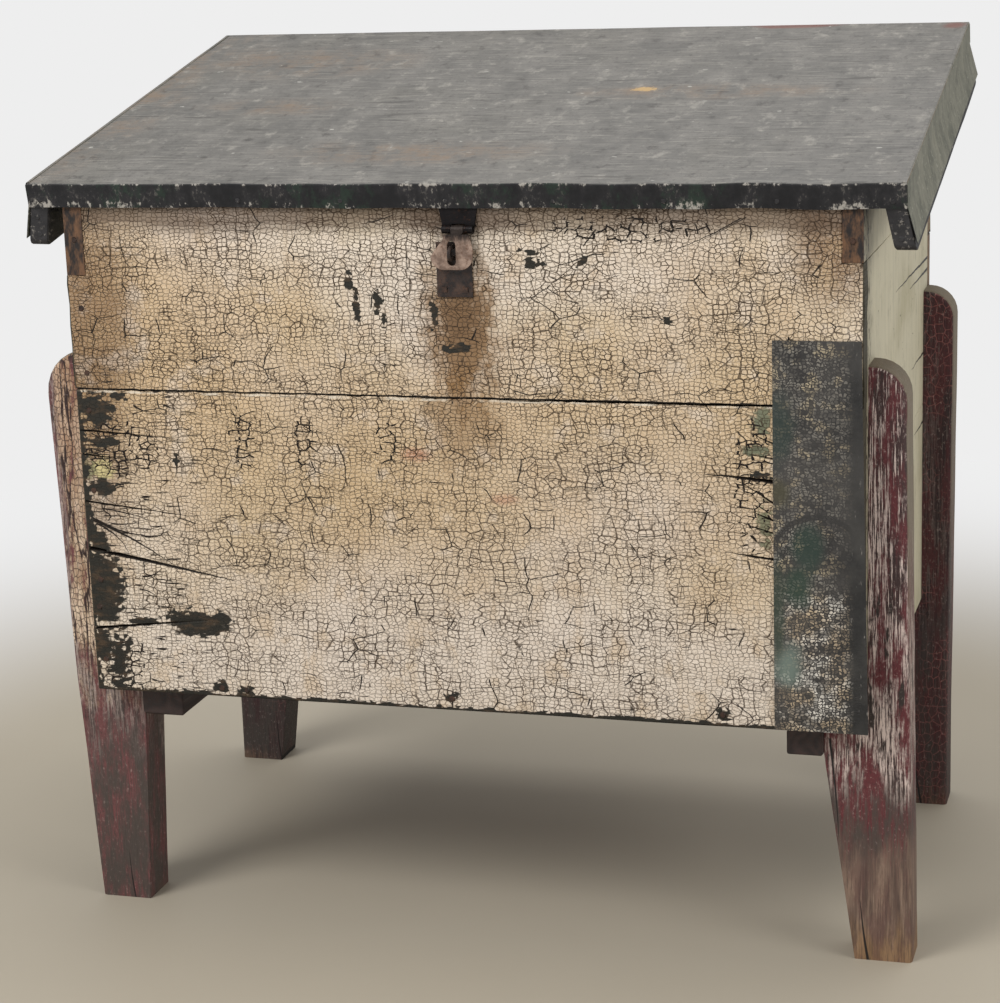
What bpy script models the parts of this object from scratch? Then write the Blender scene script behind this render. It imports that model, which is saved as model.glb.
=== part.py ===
"""Slant-lid flour bin: nailed board box on four notched legs, hinged lid with a hasp."""

import math

import bmesh
import bpy
from mathutils import Matrix, Vector

# Box: outside sizes and boards
BOX_WIDTH = 0.762
BOX_DEPTH = 0.506
BOX_BOTTOM = 0.234
FRONT_RISE = 0.4849
LID_SLOPE = math.radians(11.4)
BOARD = 0.022
SIDE_BOARD = 0.019
CLEAR = 0.0003
FRONT_SEAM = 0.5397
SIDE_SEAM = 0.450
TOP_SEAM_LEFT = 0.650
TOP_SEAM_RIGHT = 0.668
BACK_SEAMS = (0.430, 0.626)
BOTTOM_BOARDS = 3

# Runners under the bottom
RUNNER_THICK = 0.031
RUNNER_RIGHT_WIDTH = 0.034
RUNNER_LEFT_WIDTH = 0.044

# Legs: thickness front to back, height, and the set-back of the pairs from the box faces
LEG_THICK = 0.045
LEG_TOP = 0.571
FRONT_LEG_INSET = 0.029
REAR_LEG_INSET = 0.011
LEG_ARC_STEPS = 7
LEG_EASE = 0.004
# Reach outward from the box side: at the top, at the box bottom, at the foot; then inward: shoulder, foot
LEG_SHAPES = {
    "leg_front_left": (0.046, 0.038, 0.026, 0.036, 0.027),
    "leg_front_right": (0.035, 0.039, 0.0425, 0.040, 0.0115),
    "leg_rear_left": (0.041, 0.042, 0.039, 0.036, 0.010),
    "leg_rear_right": (0.032, 0.032, 0.029, 0.040, 0.0145),
}

# Tin plate over the right end of the front
PLATE_THICK = 0.0008
PLATE_WIDTH = 0.081
PLATE_INSET_TOP = 0.0015
PLATE_OVERHANG_FOOT = 0.005
PLATE_TOP = 0.5987
PLATE_FOOT = 0.2350

# Lid
LID_OVERHANG_LEFT = 0.032
LID_OVERHANG_RIGHT = 0.038
LID_FRONT = -0.00465
LID_OVERHANG_BACK = 0.0139
LID_BOARD = 0.021
LID_BOARDS = 3
COVER_THICK = 0.0008
COVER_LIP_FOOT = 0.0006
CLEAT_WIDTH = 0.0195
CLEAT_DROP = 0.0425
CLEAT_SPLAY = 0.008
CLEAT_BACK_GAP = 0.0058
CLEAT_ROUND = 0.008

# Lid hinges: rolled sheet leaves on a pin behind the back boards
HINGE_INSET = 0.131
HINGE_WIDTH = 0.060
HINGE_KNUCKLE = 0.024
HINGE_SHEET = 0.0018
HINGE_PIN = 0.0018
HINGE_LEAF = 0.045

# Hasp on the lid, staple on the front
STRAP_X = 0.0134
STRAP_WIDTH = 0.0295
STRAP_KNUCKLE = 0.012
STRAP_LENGTH = 0.036
STRAP_GAP = 0.0009
HASP_SHEET = 0.002
HASP_PIN = 0.0016
HASP_PIN_Z = 0.6965
STAPLE_X = 0.0077
STAPLE_Z = 0.675
STAPLE_WIRE = 0.00175
STAPLE_BEND = 0.00525
STAPLE_REACH = 0.019
STAPLE_BITE = 0.015
STAPLE_PLATE_WIDTH = 0.034
STAPLE_PLATE_FOOT = 0.6337
STAPLE_PLATE_TOP = 0.6845
STAPLE_PLATE_THICK = 0.0012
LEAF_WIDTH = 0.040
LEAF_FOOT = 0.0370
LEAF_WIDEST = 0.0245
SLOT_WIDTH = 0.008
SLOT_TOP = 0.010
SLOT_FOOT = 0.033

# Cut nails, tacks and screws: head, head thickness, shank
NAIL = (0.007, 0.0015, 0.003)
NAIL_LENGTH = 0.055
LEG_NAIL_LENGTH = 0.044
LEG_NAIL_Z = 0.525
CORNER_NAIL_Z = 0.694
TACK = (0.005, 0.0008, 0.0018)
TACK_LENGTH = 0.009
TACK_INSET = 0.007
SCREW = (0.007, 0.0012, 0.0034)
SCREW_LENGTH = 0.013

WOOD = (0.45, 0.33, 0.21)
CREAM = (0.62, 0.52, 0.38)
PALE = (0.52, 0.51, 0.40)
MAROON = (0.18, 0.05, 0.05)
SLATE = (0.13, 0.13, 0.13)
IRON = (0.10, 0.09, 0.08)

half = BOX_WIDTH / 2
slope_cos = math.cos(LID_SLOPE)
slope_sin = math.sin(LID_SLOPE)
under_front = BOX_BOTTOM + FRONT_RISE
lid_left = -half - LID_OVERHANG_LEFT
lid_right = half + LID_OVERHANG_RIGHT
lid_back = BOX_DEPTH / slope_cos + LID_OVERHANG_BACK
lid_top = LID_BOARD + CLEAR + COVER_THICK
hinge_x = half - HINGE_INSET
inner_front = BOARD + CLEAR
inner_back = BOX_DEPTH - BOARD - CLEAR
hinge_inner = HINGE_PIN + CLEAR
hinge_outer = hinge_inner + HINGE_SHEET
hasp_inner = HASP_PIN + CLEAR
hasp_outer = hasp_inner + HASP_SHEET
hasp_y = -STRAP_GAP - hasp_outer
# Middle of the assembled depth, from the staple's front to the lid's back edge
middle_y = (lid_back * slope_cos - COVER_LIP_FOOT * slope_sin - STAPLE_REACH) / 2

for old in list(bpy.data.objects):
    bpy.data.objects.remove(old, do_unlink=True)


def under(y, drop=0.0):
    """Height of the lid's underside above a depth, less a drop square to it."""
    return under_front + (y * slope_sin - drop) / slope_cos


def lid_point(x, along, high):
    """A point on the lid: up the slope from the front face, and square to the underside."""
    y = along * slope_cos - high * slope_sin
    z = under_front + along * slope_sin + high * slope_cos
    return (x, y, z)


def swept_x(p, q, r):
    return (r, p, q)


def swept_y(p, q, r):
    return (p, r, q)


def lid_swept_x(p, q, r):
    return lid_point(r, p, q)


def lid_swept_along(p, q, r):
    return lid_point(p, r, q)


def prism(bm, outline, start, end, place):
    """Closed prism of an outline extruded from start to end."""
    face = bm.faces.new([bm.verts.new(place(p, q, start)) for p, q in outline])
    swept = bmesh.ops.extrude_face_region(bm, geom=[face])["geom"]
    verts = [v for v in swept if isinstance(v, bmesh.types.BMVert)]
    travel = Vector(place(0, 0, end)) - Vector(place(0, 0, start))
    bmesh.ops.translate(bm, verts=verts, vec=travel)


def rectangle(p0, q0, p1, q1):
    return [(p0, q0), (p1, q0), (p1, q1), (p0, q1)]


def spindle(bm, origin, direction, steps, sides):
    """Closed stepped pin: a disc extruded through (distance, radius) rings along a direction."""
    turn = Vector(direction).to_track_quat("Z", "Y").to_matrix().to_4x4()
    place = Matrix.Translation(origin) @ turn @ Matrix.Rotation(math.pi / sides, 4, "Z")
    distance, radius = steps[0]
    disc = bmesh.ops.create_circle(
        bm, cap_ends=True, segments=sides, radius=radius,
        matrix=place @ Matrix.Translation((0, 0, distance)),
    )
    first = face = disc["verts"][0].link_faces[0]
    for next_distance, next_radius in steps[1:]:
        swept = bmesh.ops.extrude_face_region(bm, geom=[face])["geom"]
        if face is not first:
            bm.faces.remove(face)
        face = next(f for f in swept if isinstance(f, bmesh.types.BMFace))
        share = next_radius / radius
        shape = Matrix.Translation((0, 0, next_distance - distance))
        shape = shape @ Matrix.Diagonal((share, share, 1.0, 1.0))
        local = place @ Matrix.Translation((0, 0, distance))
        bmesh.ops.transform(bm, matrix=local @ shape @ local.inverted(), verts=face.verts)
        distance, radius = next_distance, next_radius


def node(name, bm, colour, roughness, metallic=0.0):
    """Named object from a bmesh, with its own material."""
    bmesh.ops.recalc_face_normals(bm, faces=bm.faces)
    mesh = bpy.data.meshes.new(name)
    bm.to_mesh(mesh)
    bm.free()
    paint = bpy.data.materials.new(name)
    paint.use_nodes = True
    shader = paint.node_tree.nodes["Principled BSDF"]
    shader.inputs["Base Color"].default_value = (*colour, 1.0)
    shader.inputs["Roughness"].default_value = roughness
    shader.inputs["Metallic"].default_value = metallic
    mesh.materials.append(paint)
    obj = bpy.data.objects.new(name, mesh)
    bpy.context.scene.collection.objects.link(obj)
    return obj


def prism_node(name, outline, start, end, place, colour, roughness, metallic=0.0):
    bm = bmesh.new()
    prism(bm, outline, start, end, place)
    return node(name, bm, colour, roughness, metallic)


def combine(target, bm, operation="DIFFERENCE"):
    """Cuts a tool's shape out of a piece, or keeps only what lies inside it."""
    bmesh.ops.recalc_face_normals(bm, faces=bm.faces)
    tool_mesh = bpy.data.meshes.new("tool")
    bm.to_mesh(tool_mesh)
    tool = bpy.data.objects.new("tool", tool_mesh)
    tool.hide_render = True
    tool.display_type = "WIRE"
    bpy.context.scene.collection.objects.link(tool)
    cut = target.modifiers.new("cut", "BOOLEAN")
    cut.operation = operation
    cut.solver = "EXACT"
    cut.object = tool
    bpy.context.view_layer.update()
    done = target.evaluated_get(bpy.context.evaluated_depsgraph_get())
    mesh = bpy.data.meshes.new_from_object(done)
    target.modifiers.clear()
    old_mesh = target.data
    target.data = mesh
    bpy.data.meshes.remove(old_mesh)
    mesh.name = target.name
    bpy.data.objects.remove(tool, do_unlink=True)
    bpy.data.meshes.remove(tool_mesh)


def cut_prism(target, outline, start, end, place):
    bm = bmesh.new()
    prism(bm, outline, start, end, place)
    combine(target, bm)
    bm.free()


def fasteners(kind, length, places, boards, sides=4, flush=True):
    """Nails or screws by name at (point on the face, inward direction), with their holes in the boards."""
    head, thick, shank = kind
    spread = 1 / math.cos(math.pi / sides)
    head_radius = head / 2 * spread
    shank_radius = shank / 2 * spread
    grow = CLEAR * spread
    sink = CLEAR if flush else -thick - CLEAR
    pieces = []
    holes = bmesh.new()
    for name, (point, direction) in places.items():
        steps = [
            (sink, head_radius),
            (sink + thick, head_radius),
            (sink + thick, shank_radius),
            (length, shank_radius),
        ]
        hole = [(-0.001, shank_radius + grow), (length + CLEAR, shank_radius + grow)]
        if flush:
            hole = [
                (-0.001, head_radius + grow),
                (sink + thick + CLEAR, head_radius + grow),
                (sink + thick + CLEAR, shank_radius + grow),
                (length + CLEAR, shank_radius + grow),
            ]
        bm = bmesh.new()
        spindle(bm, point, direction, steps, sides)
        pieces.append(node(name, bm, IRON, 0.6, 0.8))
        spindle(holes, point, direction, hole, sides)
    for board in boards:
        combine(board, holes)
    holes.free()
    return pieces


def rolled_leaf(inner, outer, length, arc=290.0, steps=14):
    """Sheet hanging down from a rolled knuckle round the origin, its front face on the knuckle's front."""
    outline = [(-outer, -length)]
    angles = [math.radians(180.0 - arc * k / steps) for k in range(steps + 1)]
    outline += [(outer * math.cos(a), outer * math.sin(a)) for a in angles]
    outline += [(inner * math.cos(a), inner * math.sin(a)) for a in reversed(angles)]
    outline.append((-inner, -length))
    return outline


# Front boards: the upper one is bevelled to the lid and notched at its top corners for the side ends
front_lower = prism_node(
    "front_board_lower", rectangle(0, BOX_BOTTOM, BOARD, FRONT_SEAM - CLEAR / 2),
    -half, half, swept_x, CREAM, 0.7,
)
front_outline = [
    (0, FRONT_SEAM + CLEAR / 2),
    (BOARD, FRONT_SEAM + CLEAR / 2),
    (BOARD, under(BOARD, CLEAR)),
    (0, under(0, CLEAR)),
]
front_upper = prism_node("front_board_upper", front_outline, -half, half, swept_x, CREAM, 0.7)
notch_depth = SIDE_BOARD + CLEAR
for side, seam in ((-1, TOP_SEAM_LEFT), (1, TOP_SEAM_RIGHT)):
    ends = sorted((side * (half - notch_depth), side * (half + BOARD)))
    opening = rectangle(-BOARD, seam - CLEAR, 2 * BOARD, under(2 * BOARD))
    cut_prism(front_upper, opening, ends[0], ends[1], swept_x)

# Sides: two plain boards and a tapered top board whose front end passes through the notch
sides = {}
for label, side, seam in (("left", -1, TOP_SEAM_LEFT), ("right", 1, TOP_SEAM_RIGHT)):
    x0, x1 = sorted((side * half, side * (half - SIDE_BOARD)))
    lower = rectangle(inner_front, BOX_BOTTOM, inner_back, SIDE_SEAM - CLEAR / 2)
    upper = rectangle(inner_front, SIDE_SEAM + CLEAR / 2, inner_back, seam - CLEAR)
    top = [(0, seam), (inner_back, seam), (inner_back, under(inner_back, CLEAR)), (0, under(0, CLEAR))]
    for part, outline in (("lower", lower), ("upper", upper), ("top", top)):
        name = f"side_{label}_{part}"
        sides[name] = prism_node(name, outline, x0, x1, swept_x, PALE, 0.6)

# Back boards
y0 = BOX_DEPTH - BOARD
back_low, back_high = BACK_SEAMS
back_lower = prism_node(
    "back_board_lower", rectangle(y0, BOX_BOTTOM, BOX_DEPTH, back_low - CLEAR / 2),
    -half, half, swept_x, WOOD, 0.75,
)
back_middle = prism_node(
    "back_board_middle", rectangle(y0, back_low + CLEAR / 2, BOX_DEPTH, back_high - CLEAR / 2),
    -half, half, swept_x, WOOD, 0.75,
)
back_outline = [
    (y0, back_high + CLEAR / 2),
    (BOX_DEPTH, back_high + CLEAR / 2),
    (BOX_DEPTH, under(BOX_DEPTH, CLEAR)),
    (y0, under(y0, CLEAR)),
]
back_upper = prism_node("back_board_upper", back_outline, -half, half, swept_x, WOOD, 0.75)

# Bottom boards between the sides
bottom_half = half - SIDE_BOARD - CLEAR
bottom_pitch = (inner_back - inner_front + CLEAR) / BOTTOM_BOARDS
bottoms = []
for i in range(BOTTOM_BOARDS):
    start = inner_front + i * bottom_pitch
    outline = rectangle(start, BOX_BOTTOM, start + bottom_pitch - CLEAR, BOX_BOTTOM + BOARD)
    name = ("bottom_board_front", "bottom_board_middle", "bottom_board_back")[i]
    bottoms.append(prism_node(name, outline, -bottom_half, bottom_half, swept_x, WOOD, 0.8))

# Runners against the leg shoulders
runner_top = BOX_BOTTOM - CLEAR
runner_outline = rectangle(inner_front, runner_top - RUNNER_THICK, inner_back, runner_top)
left_edge = -(half - LEG_SHAPES["leg_front_left"][3]) + CLEAR
right_edge = half - LEG_SHAPES["leg_front_right"][3] - CLEAR
runner_left = prism_node(
    "runner_left", runner_outline, left_edge, left_edge + RUNNER_LEFT_WIDTH, swept_x, WOOD, 0.8,
)
runner_right = prism_node(
    "runner_right", runner_outline, right_edge - RUNNER_RIGHT_WIDTH, right_edge, swept_x, WOOD, 0.8,
)

# Legs: a notched plank each, standing outside the box side and under its bottom
legs = {}
rear_leg_y = BOX_DEPTH - REAR_LEG_INSET - LEG_THICK
for name, (top_out, side_out, foot_out, shoulder_in, foot_in) in LEG_SHAPES.items():
    side = 1 if name.endswith("right") else -1
    round_radius = top_out - 0.003
    outline = [(CLEAR, LEG_TOP)]
    for k in range(LEG_ARC_STEPS + 1):
        angle = math.pi / 2 * (1 - k / LEG_ARC_STEPS)
        outline.append((
            top_out - round_radius + round_radius * math.cos(angle),
            LEG_TOP - round_radius + round_radius * math.sin(angle),
        ))
    outline += [
        (side_out, BOX_BOTTOM),
        (foot_out, 0),
        (-foot_in, 0),
        (-shoulder_in, BOX_BOTTOM - CLEAR - RUNNER_THICK),
        (-shoulder_in, BOX_BOTTOM - CLEAR),
        (CLEAR, BOX_BOTTOM - CLEAR),
    ]
    outline = [(side * (half + p), q) for p, q in outline]
    start = FRONT_LEG_INSET if "front" in name else rear_leg_y
    bm = bmesh.new()
    prism(bm, outline, start, start + LEG_THICK, swept_y)
    # the outer edges are worn round, front and back
    worn = []
    for edge in bm.edges:
        ends = [side * v.co.x - half for v in edge.verts]
        along_face = abs(edge.verts[0].co.y - edge.verts[1].co.y) < CLEAR
        if along_face and min(ends) > CLEAR / 2 and max(ends) > 2 * CLEAR:
            worn.append(edge)
    bmesh.ops.bevel(
        bm, geom=worn, offset=LEG_EASE, offset_type="OFFSET", segments=2, profile=0.5,
        affect="EDGES", material=-1,
    )
    legs[name] = node(name, bm, MAROON, 0.6)

# Tin plate over the right corner of the front
plate_left = half - PLATE_WIDTH
plate_right = half - PLATE_INSET_TOP
plate_outline = [
    (plate_left, PLATE_FOOT),
    (half + PLATE_OVERHANG_FOOT, PLATE_FOOT),
    (plate_right, PLATE_TOP),
    (plate_left, PLATE_TOP),
]
corner_plate = prism_node(
    "corner_plate", plate_outline, -CLEAR - PLATE_THICK, -CLEAR, swept_y, SLATE, 0.5, 0.6,
)

# Staple plate and staple
plate_x0 = STAPLE_X - STAPLE_PLATE_WIDTH / 2
plate_x1 = STAPLE_X + STAPLE_PLATE_WIDTH / 2
staple_plate = prism_node(
    "staple_plate", rectangle(plate_x0, STAPLE_PLATE_FOOT, plate_x1, STAPLE_PLATE_TOP),
    -CLEAR - STAPLE_PLATE_THICK, -CLEAR, swept_y, IRON, 0.6, 0.7,
)
bend_y = -STAPLE_REACH + STAPLE_WIRE + STAPLE_BEND
bm = bmesh.new()
facing = Matrix.Rotation(math.pi / 2, 4, "X")
ring = bmesh.ops.create_circle(
    bm, cap_ends=True, segments=8, radius=STAPLE_WIRE,
    matrix=Matrix.Translation((STAPLE_X, bend_y, STAPLE_Z + STAPLE_BEND)) @ facing,
)
first_end = ring["verts"][0].link_faces[0]
bmesh.ops.spin(
    bm, geom=[first_end], cent=(STAPLE_X, bend_y, STAPLE_Z), axis=(1, 0, 0),
    angle=math.pi, steps=8,
)
discs = [f for f in bm.faces if len(f.verts) == 8]
for disc in discs:
    if abs(disc.calc_center_median().y - bend_y) < CLEAR:
        swept = bmesh.ops.extrude_face_region(bm, geom=[disc])["geom"]
        verts = [v for v in swept if isinstance(v, bmesh.types.BMVert)]
        bmesh.ops.translate(bm, verts=verts, vec=(0, STAPLE_BITE - bend_y, 0))
    bm.faces.remove(disc)
node("staple", bm, IRON, 0.5, 0.8)
holes = bmesh.new()
for sign in (-1, 1):
    origin = (STAPLE_X, -0.004, STAPLE_Z + sign * STAPLE_BEND)
    reach = STAPLE_BITE + 0.004 + CLEAR
    spindle(holes, origin, (0, 1, 0), [(0, STAPLE_WIRE + 2 * CLEAR), (reach, STAPLE_WIRE + 2 * CLEAR)], 8)
combine(front_upper, holes)
combine(staple_plate, holes)
holes.free()

# Lid: boards across, cleats under both ends, sheet folded over the front and back edges
board_front = LID_FRONT + COVER_THICK + CLEAR
board_back = lid_back - COVER_THICK - CLEAR
lid_pitch = (board_back - board_front + CLEAR) / LID_BOARDS
lid_boards = []
for i in range(LID_BOARDS):
    start = board_front + i * lid_pitch
    name = ("lid_board_front", "lid_board_middle", "lid_board_back")[i]
    outline = rectangle(start, 0, start + lid_pitch - CLEAR, LID_BOARD)
    lid_boards.append(prism_node(name, outline, lid_left, lid_right, lid_swept_x, WOOD, 0.8))
cover_inner = LID_BOARD + CLEAR
cover_outline = [
    (LID_FRONT, COVER_LIP_FOOT),
    (LID_FRONT + COVER_THICK, COVER_LIP_FOOT),
    (LID_FRONT + COVER_THICK, cover_inner),
    (lid_back - COVER_THICK, cover_inner),
    (lid_back - COVER_THICK, COVER_LIP_FOOT),
    (lid_back, COVER_LIP_FOOT),
    (lid_back, lid_top),
    (LID_FRONT, lid_top),
]
lid_cover = prism_node("lid_cover", cover_outline, lid_left, lid_right, lid_swept_x, SLATE, 0.55, 0.2)
cleats = {}
for label, side, edge in (("left", -1, lid_left), ("right", 1, lid_right)):
    outline = [
        (edge, -CLEAR),
        (edge - side * CLEAT_WIDTH, -CLEAR),
        (edge - side * (CLEAT_WIDTH - CLEAT_SPLAY), -CLEAT_DROP),
        (edge + side * CLEAT_SPLAY, -CLEAT_DROP),
    ]
    bm = bmesh.new()
    prism(bm, outline, board_front, lid_back - CLEAT_BACK_GAP, lid_swept_along)
    lowest = min(bm.edges, key=lambda edge: sum(v.co.z for v in edge.verts))
    bmesh.ops.bevel(
        bm, geom=[lowest], offset=CLEAT_ROUND, offset_type="OFFSET", segments=4, profile=0.5,
        affect="EDGES", material=-1,
    )
    cleats[label] = node(f"lid_cleat_{label}", bm, SLATE, 0.65)

# Lid hinges: fixed leaf on the back, flap let into the lid's underside
hinge_y = BOX_DEPTH + CLEAR + hinge_outer
hinge_drop = hinge_outer - HINGE_SHEET
hinge_z = under(hinge_y, hinge_drop)
hinge_along = (hinge_y - hinge_drop * slope_sin) / slope_cos
hinge_ends = HINGE_WIDTH / 2
knuckle_half = HINGE_KNUCKLE / 2
room = hinge_outer + 2 * CLEAR
leaf_profile = rolled_leaf(hinge_inner, hinge_outer, HINGE_LEAF)
hinge_leaves = []
hinge_flaps = []
for label, centre in (("left", -hinge_x), ("right", hinge_x)):
    fixed_outline = [(hinge_y + p, hinge_z + q) for p, q in leaf_profile]
    fixed = prism_node(
        f"hinge_{label}_leaf", fixed_outline, centre - hinge_ends, centre + hinge_ends, swept_x, IRON, 0.6, 0.8,
    )
    gap = rectangle(hinge_y - room, hinge_z - room, hinge_y + room, hinge_z + room)
    cut_prism(fixed, gap, centre - knuckle_half - CLEAR, centre + knuckle_half + CLEAR, swept_x)
    hinge_leaves.append(fixed)
    # the flap is the same rolled leaf lying forward along the underside
    flap_outline = [(hinge_along + q, -hinge_drop - p) for p, q in leaf_profile]
    flap = prism_node(
        f"hinge_{label}_flap", flap_outline, centre - hinge_ends, centre + hinge_ends, lid_swept_x, IRON, 0.6, 0.8,
    )
    gap = rectangle(hinge_along - room, -hinge_drop - room, hinge_along + room, -hinge_drop + room)
    cut_prism(flap, gap, centre - hinge_ends - 0.001, centre - knuckle_half, lid_swept_x)
    cut_prism(flap, gap, centre + knuckle_half, centre + hinge_ends + 0.001, lid_swept_x)
    hinge_flaps.append(flap)
    mortise = rectangle(
        hinge_along - HINGE_LEAF - CLEAR, -0.001, hinge_along + room, HINGE_SHEET + CLEAR,
    )
    cut_prism(
        lid_boards[-1], mortise, centre - hinge_ends - 2 * CLEAR, centre + hinge_ends + 2 * CLEAR, lid_swept_x,
    )
    bm = bmesh.new()
    spindle(
        bm, (centre - hinge_ends - 0.002, hinge_y, hinge_z), (1, 0, 0),
        [(0, HINGE_PIN), (HINGE_WIDTH + 0.004, HINGE_PIN)], 12,
    )
    node(f"hinge_{label}_pin", bm, IRON, 0.5, 0.8)

# Hasp strap: rolled knuckle below, sheet rising behind it, bent back into the lid's underside
strap_half = STRAP_WIDTH / 2
arc = [math.radians(290.0 * k / 14) for k in range(15)]
strap_outline = [(hasp_y + hasp_outer * math.cos(a), HASP_PIN_Z - hasp_outer * math.sin(a)) for a in arc]
strap_outline += [
    (hasp_y + hasp_inner * math.cos(a), HASP_PIN_Z - hasp_inner * math.sin(a)) for a in reversed(arc)
]
strap_front_y = hasp_y + hasp_inner
strap_tip = [lid_point(0, STRAP_LENGTH, HASP_SHEET), lid_point(0, STRAP_LENGTH, 0)]
strap_outline += [
    (strap_front_y, under(strap_front_y, -HASP_SHEET)),
    (strap_tip[0][1], strap_tip[0][2]),
    (strap_tip[1][1], strap_tip[1][2]),
    (-STRAP_GAP, under(-STRAP_GAP)),
]
hasp_strap = prism_node(
    "hasp_strap", strap_outline, STRAP_X - strap_half, STRAP_X + strap_half, swept_x, IRON, 0.6, 0.6,
)
hasp_room = hasp_outer + 2 * CLEAR
gap = rectangle(hasp_y - hasp_room, HASP_PIN_Z - hasp_room, hasp_y + hasp_room, HASP_PIN_Z + hasp_room)
strap_gap = STRAP_KNUCKLE / 2 + CLEAR
cut_prism(hasp_strap, gap, STRAP_X - strap_gap, STRAP_X + strap_gap, swept_x)
mortise = rectangle(board_front - 0.001, -0.001, STRAP_LENGTH + CLEAR, HASP_SHEET + CLEAR)
cut_prism(
    lid_boards[0], mortise, STRAP_X - strap_half - 2 * CLEAR, STRAP_X + strap_half + 2 * CLEAR, lid_swept_x,
)
bm = bmesh.new()
spindle(
    bm, (STRAP_X - strap_half - 0.0008, hasp_y, HASP_PIN_Z), (1, 0, 0),
    [(0, HASP_PIN), (STRAP_WIDTH + 0.0016, HASP_PIN)], 12,
)
hasp_pin = node("hasp_pin", bm, IRON, 0.5, 0.8)

# Hasp leaf: one rolled knuckle, a neck widening to a rounded end, slotted for the staple
leaf_outline = [(hasp_y + p, HASP_PIN_Z + q) for p, q in rolled_leaf(hasp_inner, hasp_outer, LEAF_FOOT)]
leaf_half = LEAF_WIDTH / 2
hasp_leaf = prism_node(
    "hasp_leaf", leaf_outline, STAPLE_X - 2 * leaf_half, STAPLE_X + 2 * leaf_half, swept_x, IRON, 0.5, 0.85,
)
neck = hasp_room
shape = [
    (STRAP_X - STRAP_KNUCKLE / 2, HASP_PIN_Z + 2 * hasp_room),
    (STRAP_X - STRAP_KNUCKLE / 2, HASP_PIN_Z - neck),
    (STRAP_X - strap_half, HASP_PIN_Z - neck),
    (STRAP_X - strap_half, HASP_PIN_Z - neck - 0.004),
]
end_radius = LEAF_FOOT - LEAF_WIDEST
for k in range(9):
    angle = math.pi / 2 * k / 8
    shape.append((
        STAPLE_X - leaf_half + end_radius - end_radius * math.cos(angle),
        HASP_PIN_Z - LEAF_WIDEST - (end_radius - 0.0002) * math.sin(angle),
    ))
for k in range(9):
    angle = math.pi / 2 * (1 - k / 8)
    shape.append((
        STAPLE_X + leaf_half - end_radius + end_radius * math.cos(angle),
        HASP_PIN_Z - LEAF_WIDEST - (end_radius - 0.0002) * math.sin(angle),
    ))
shape += [
    (STRAP_X + strap_half, HASP_PIN_Z - neck - 0.004),
    (STRAP_X + strap_half, HASP_PIN_Z - neck),
    (STRAP_X + STRAP_KNUCKLE / 2, HASP_PIN_Z - neck),
    (STRAP_X + STRAP_KNUCKLE / 2, HASP_PIN_Z + 2 * hasp_room),
]
bm = bmesh.new()
prism(bm, shape, hasp_y - 2 * hasp_outer, hasp_y + 2 * hasp_outer, swept_y)
combine(hasp_leaf, bm, "INTERSECT")
bm.free()
slot_half = SLOT_WIDTH / 2
slot = []
for end, sign in ((SLOT_TOP + slot_half, 1), (SLOT_FOOT - slot_half, -1)):
    for k in range(7):
        angle = math.pi * k / 6
        slot.append((
            STAPLE_X + sign * slot_half * math.cos(angle),
            HASP_PIN_Z - end + sign * slot_half * math.sin(angle),
        ))
cut_prism(hasp_leaf, slot, hasp_y - 2 * hasp_outer, hasp_y, swept_y)

# Cut nails: two through the side ends in the notches, one through each side into its leg
into = (0, 1, 0)
corner_nails = {}
leg_nails = {}
for label, side in (("left", -1), ("right", 1)):
    corner_nails[f"corner_nail_{label}"] = ((side * half, BOARD / 2, CORNER_NAIL_Z), (-side, 0, 0))
    for pair, y in (("front", FRONT_LEG_INSET + LEG_THICK / 2), ("rear", rear_leg_y + LEG_THICK / 2)):
        leg_nails[f"leg_nail_{pair}_{label}"] = ((side * (half - SIDE_BOARD), y, LEG_NAIL_Z), (side, 0, 0))
fasteners(
    NAIL, NAIL_LENGTH, corner_nails, [front_upper, sides["side_left_top"], sides["side_right_top"]],
)
fasteners(
    NAIL, LEG_NAIL_LENGTH, leg_nails, [sides["side_left_upper"], sides["side_right_upper"], *legs.values()],
)

# Tacks at the corners of the tin plate and the foot of the staple plate
tack_x = {"left": plate_left + TACK_INSET, "right": plate_right - TACK_INSET - SIDE_BOARD / 2}
tack_z = {"upper": PLATE_TOP - TACK_INSET, "lower": PLATE_FOOT + TACK_INSET}
plate_tacks = {}
for across, x in tack_x.items():
    for height, z in tack_z.items():
        plate_tacks[f"corner_plate_tack_{height}_{across}"] = ((x, -CLEAR - PLATE_THICK, z), into)
fasteners(TACK, TACK_LENGTH, plate_tacks, [corner_plate, front_lower, front_upper], flush=False)
staple_nails = {}
for label, x in (("left", plate_x0 + TACK_INSET), ("right", plate_x1 - TACK_INSET)):
    point = (x, -CLEAR - STAPLE_PLATE_THICK, STAPLE_PLATE_FOOT + TACK_INSET)
    staple_nails[f"staple_plate_nail_{label}"] = (point, into)
fasteners(TACK, TACK_LENGTH, staple_nails, [staple_plate, front_upper], flush=False)

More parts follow.
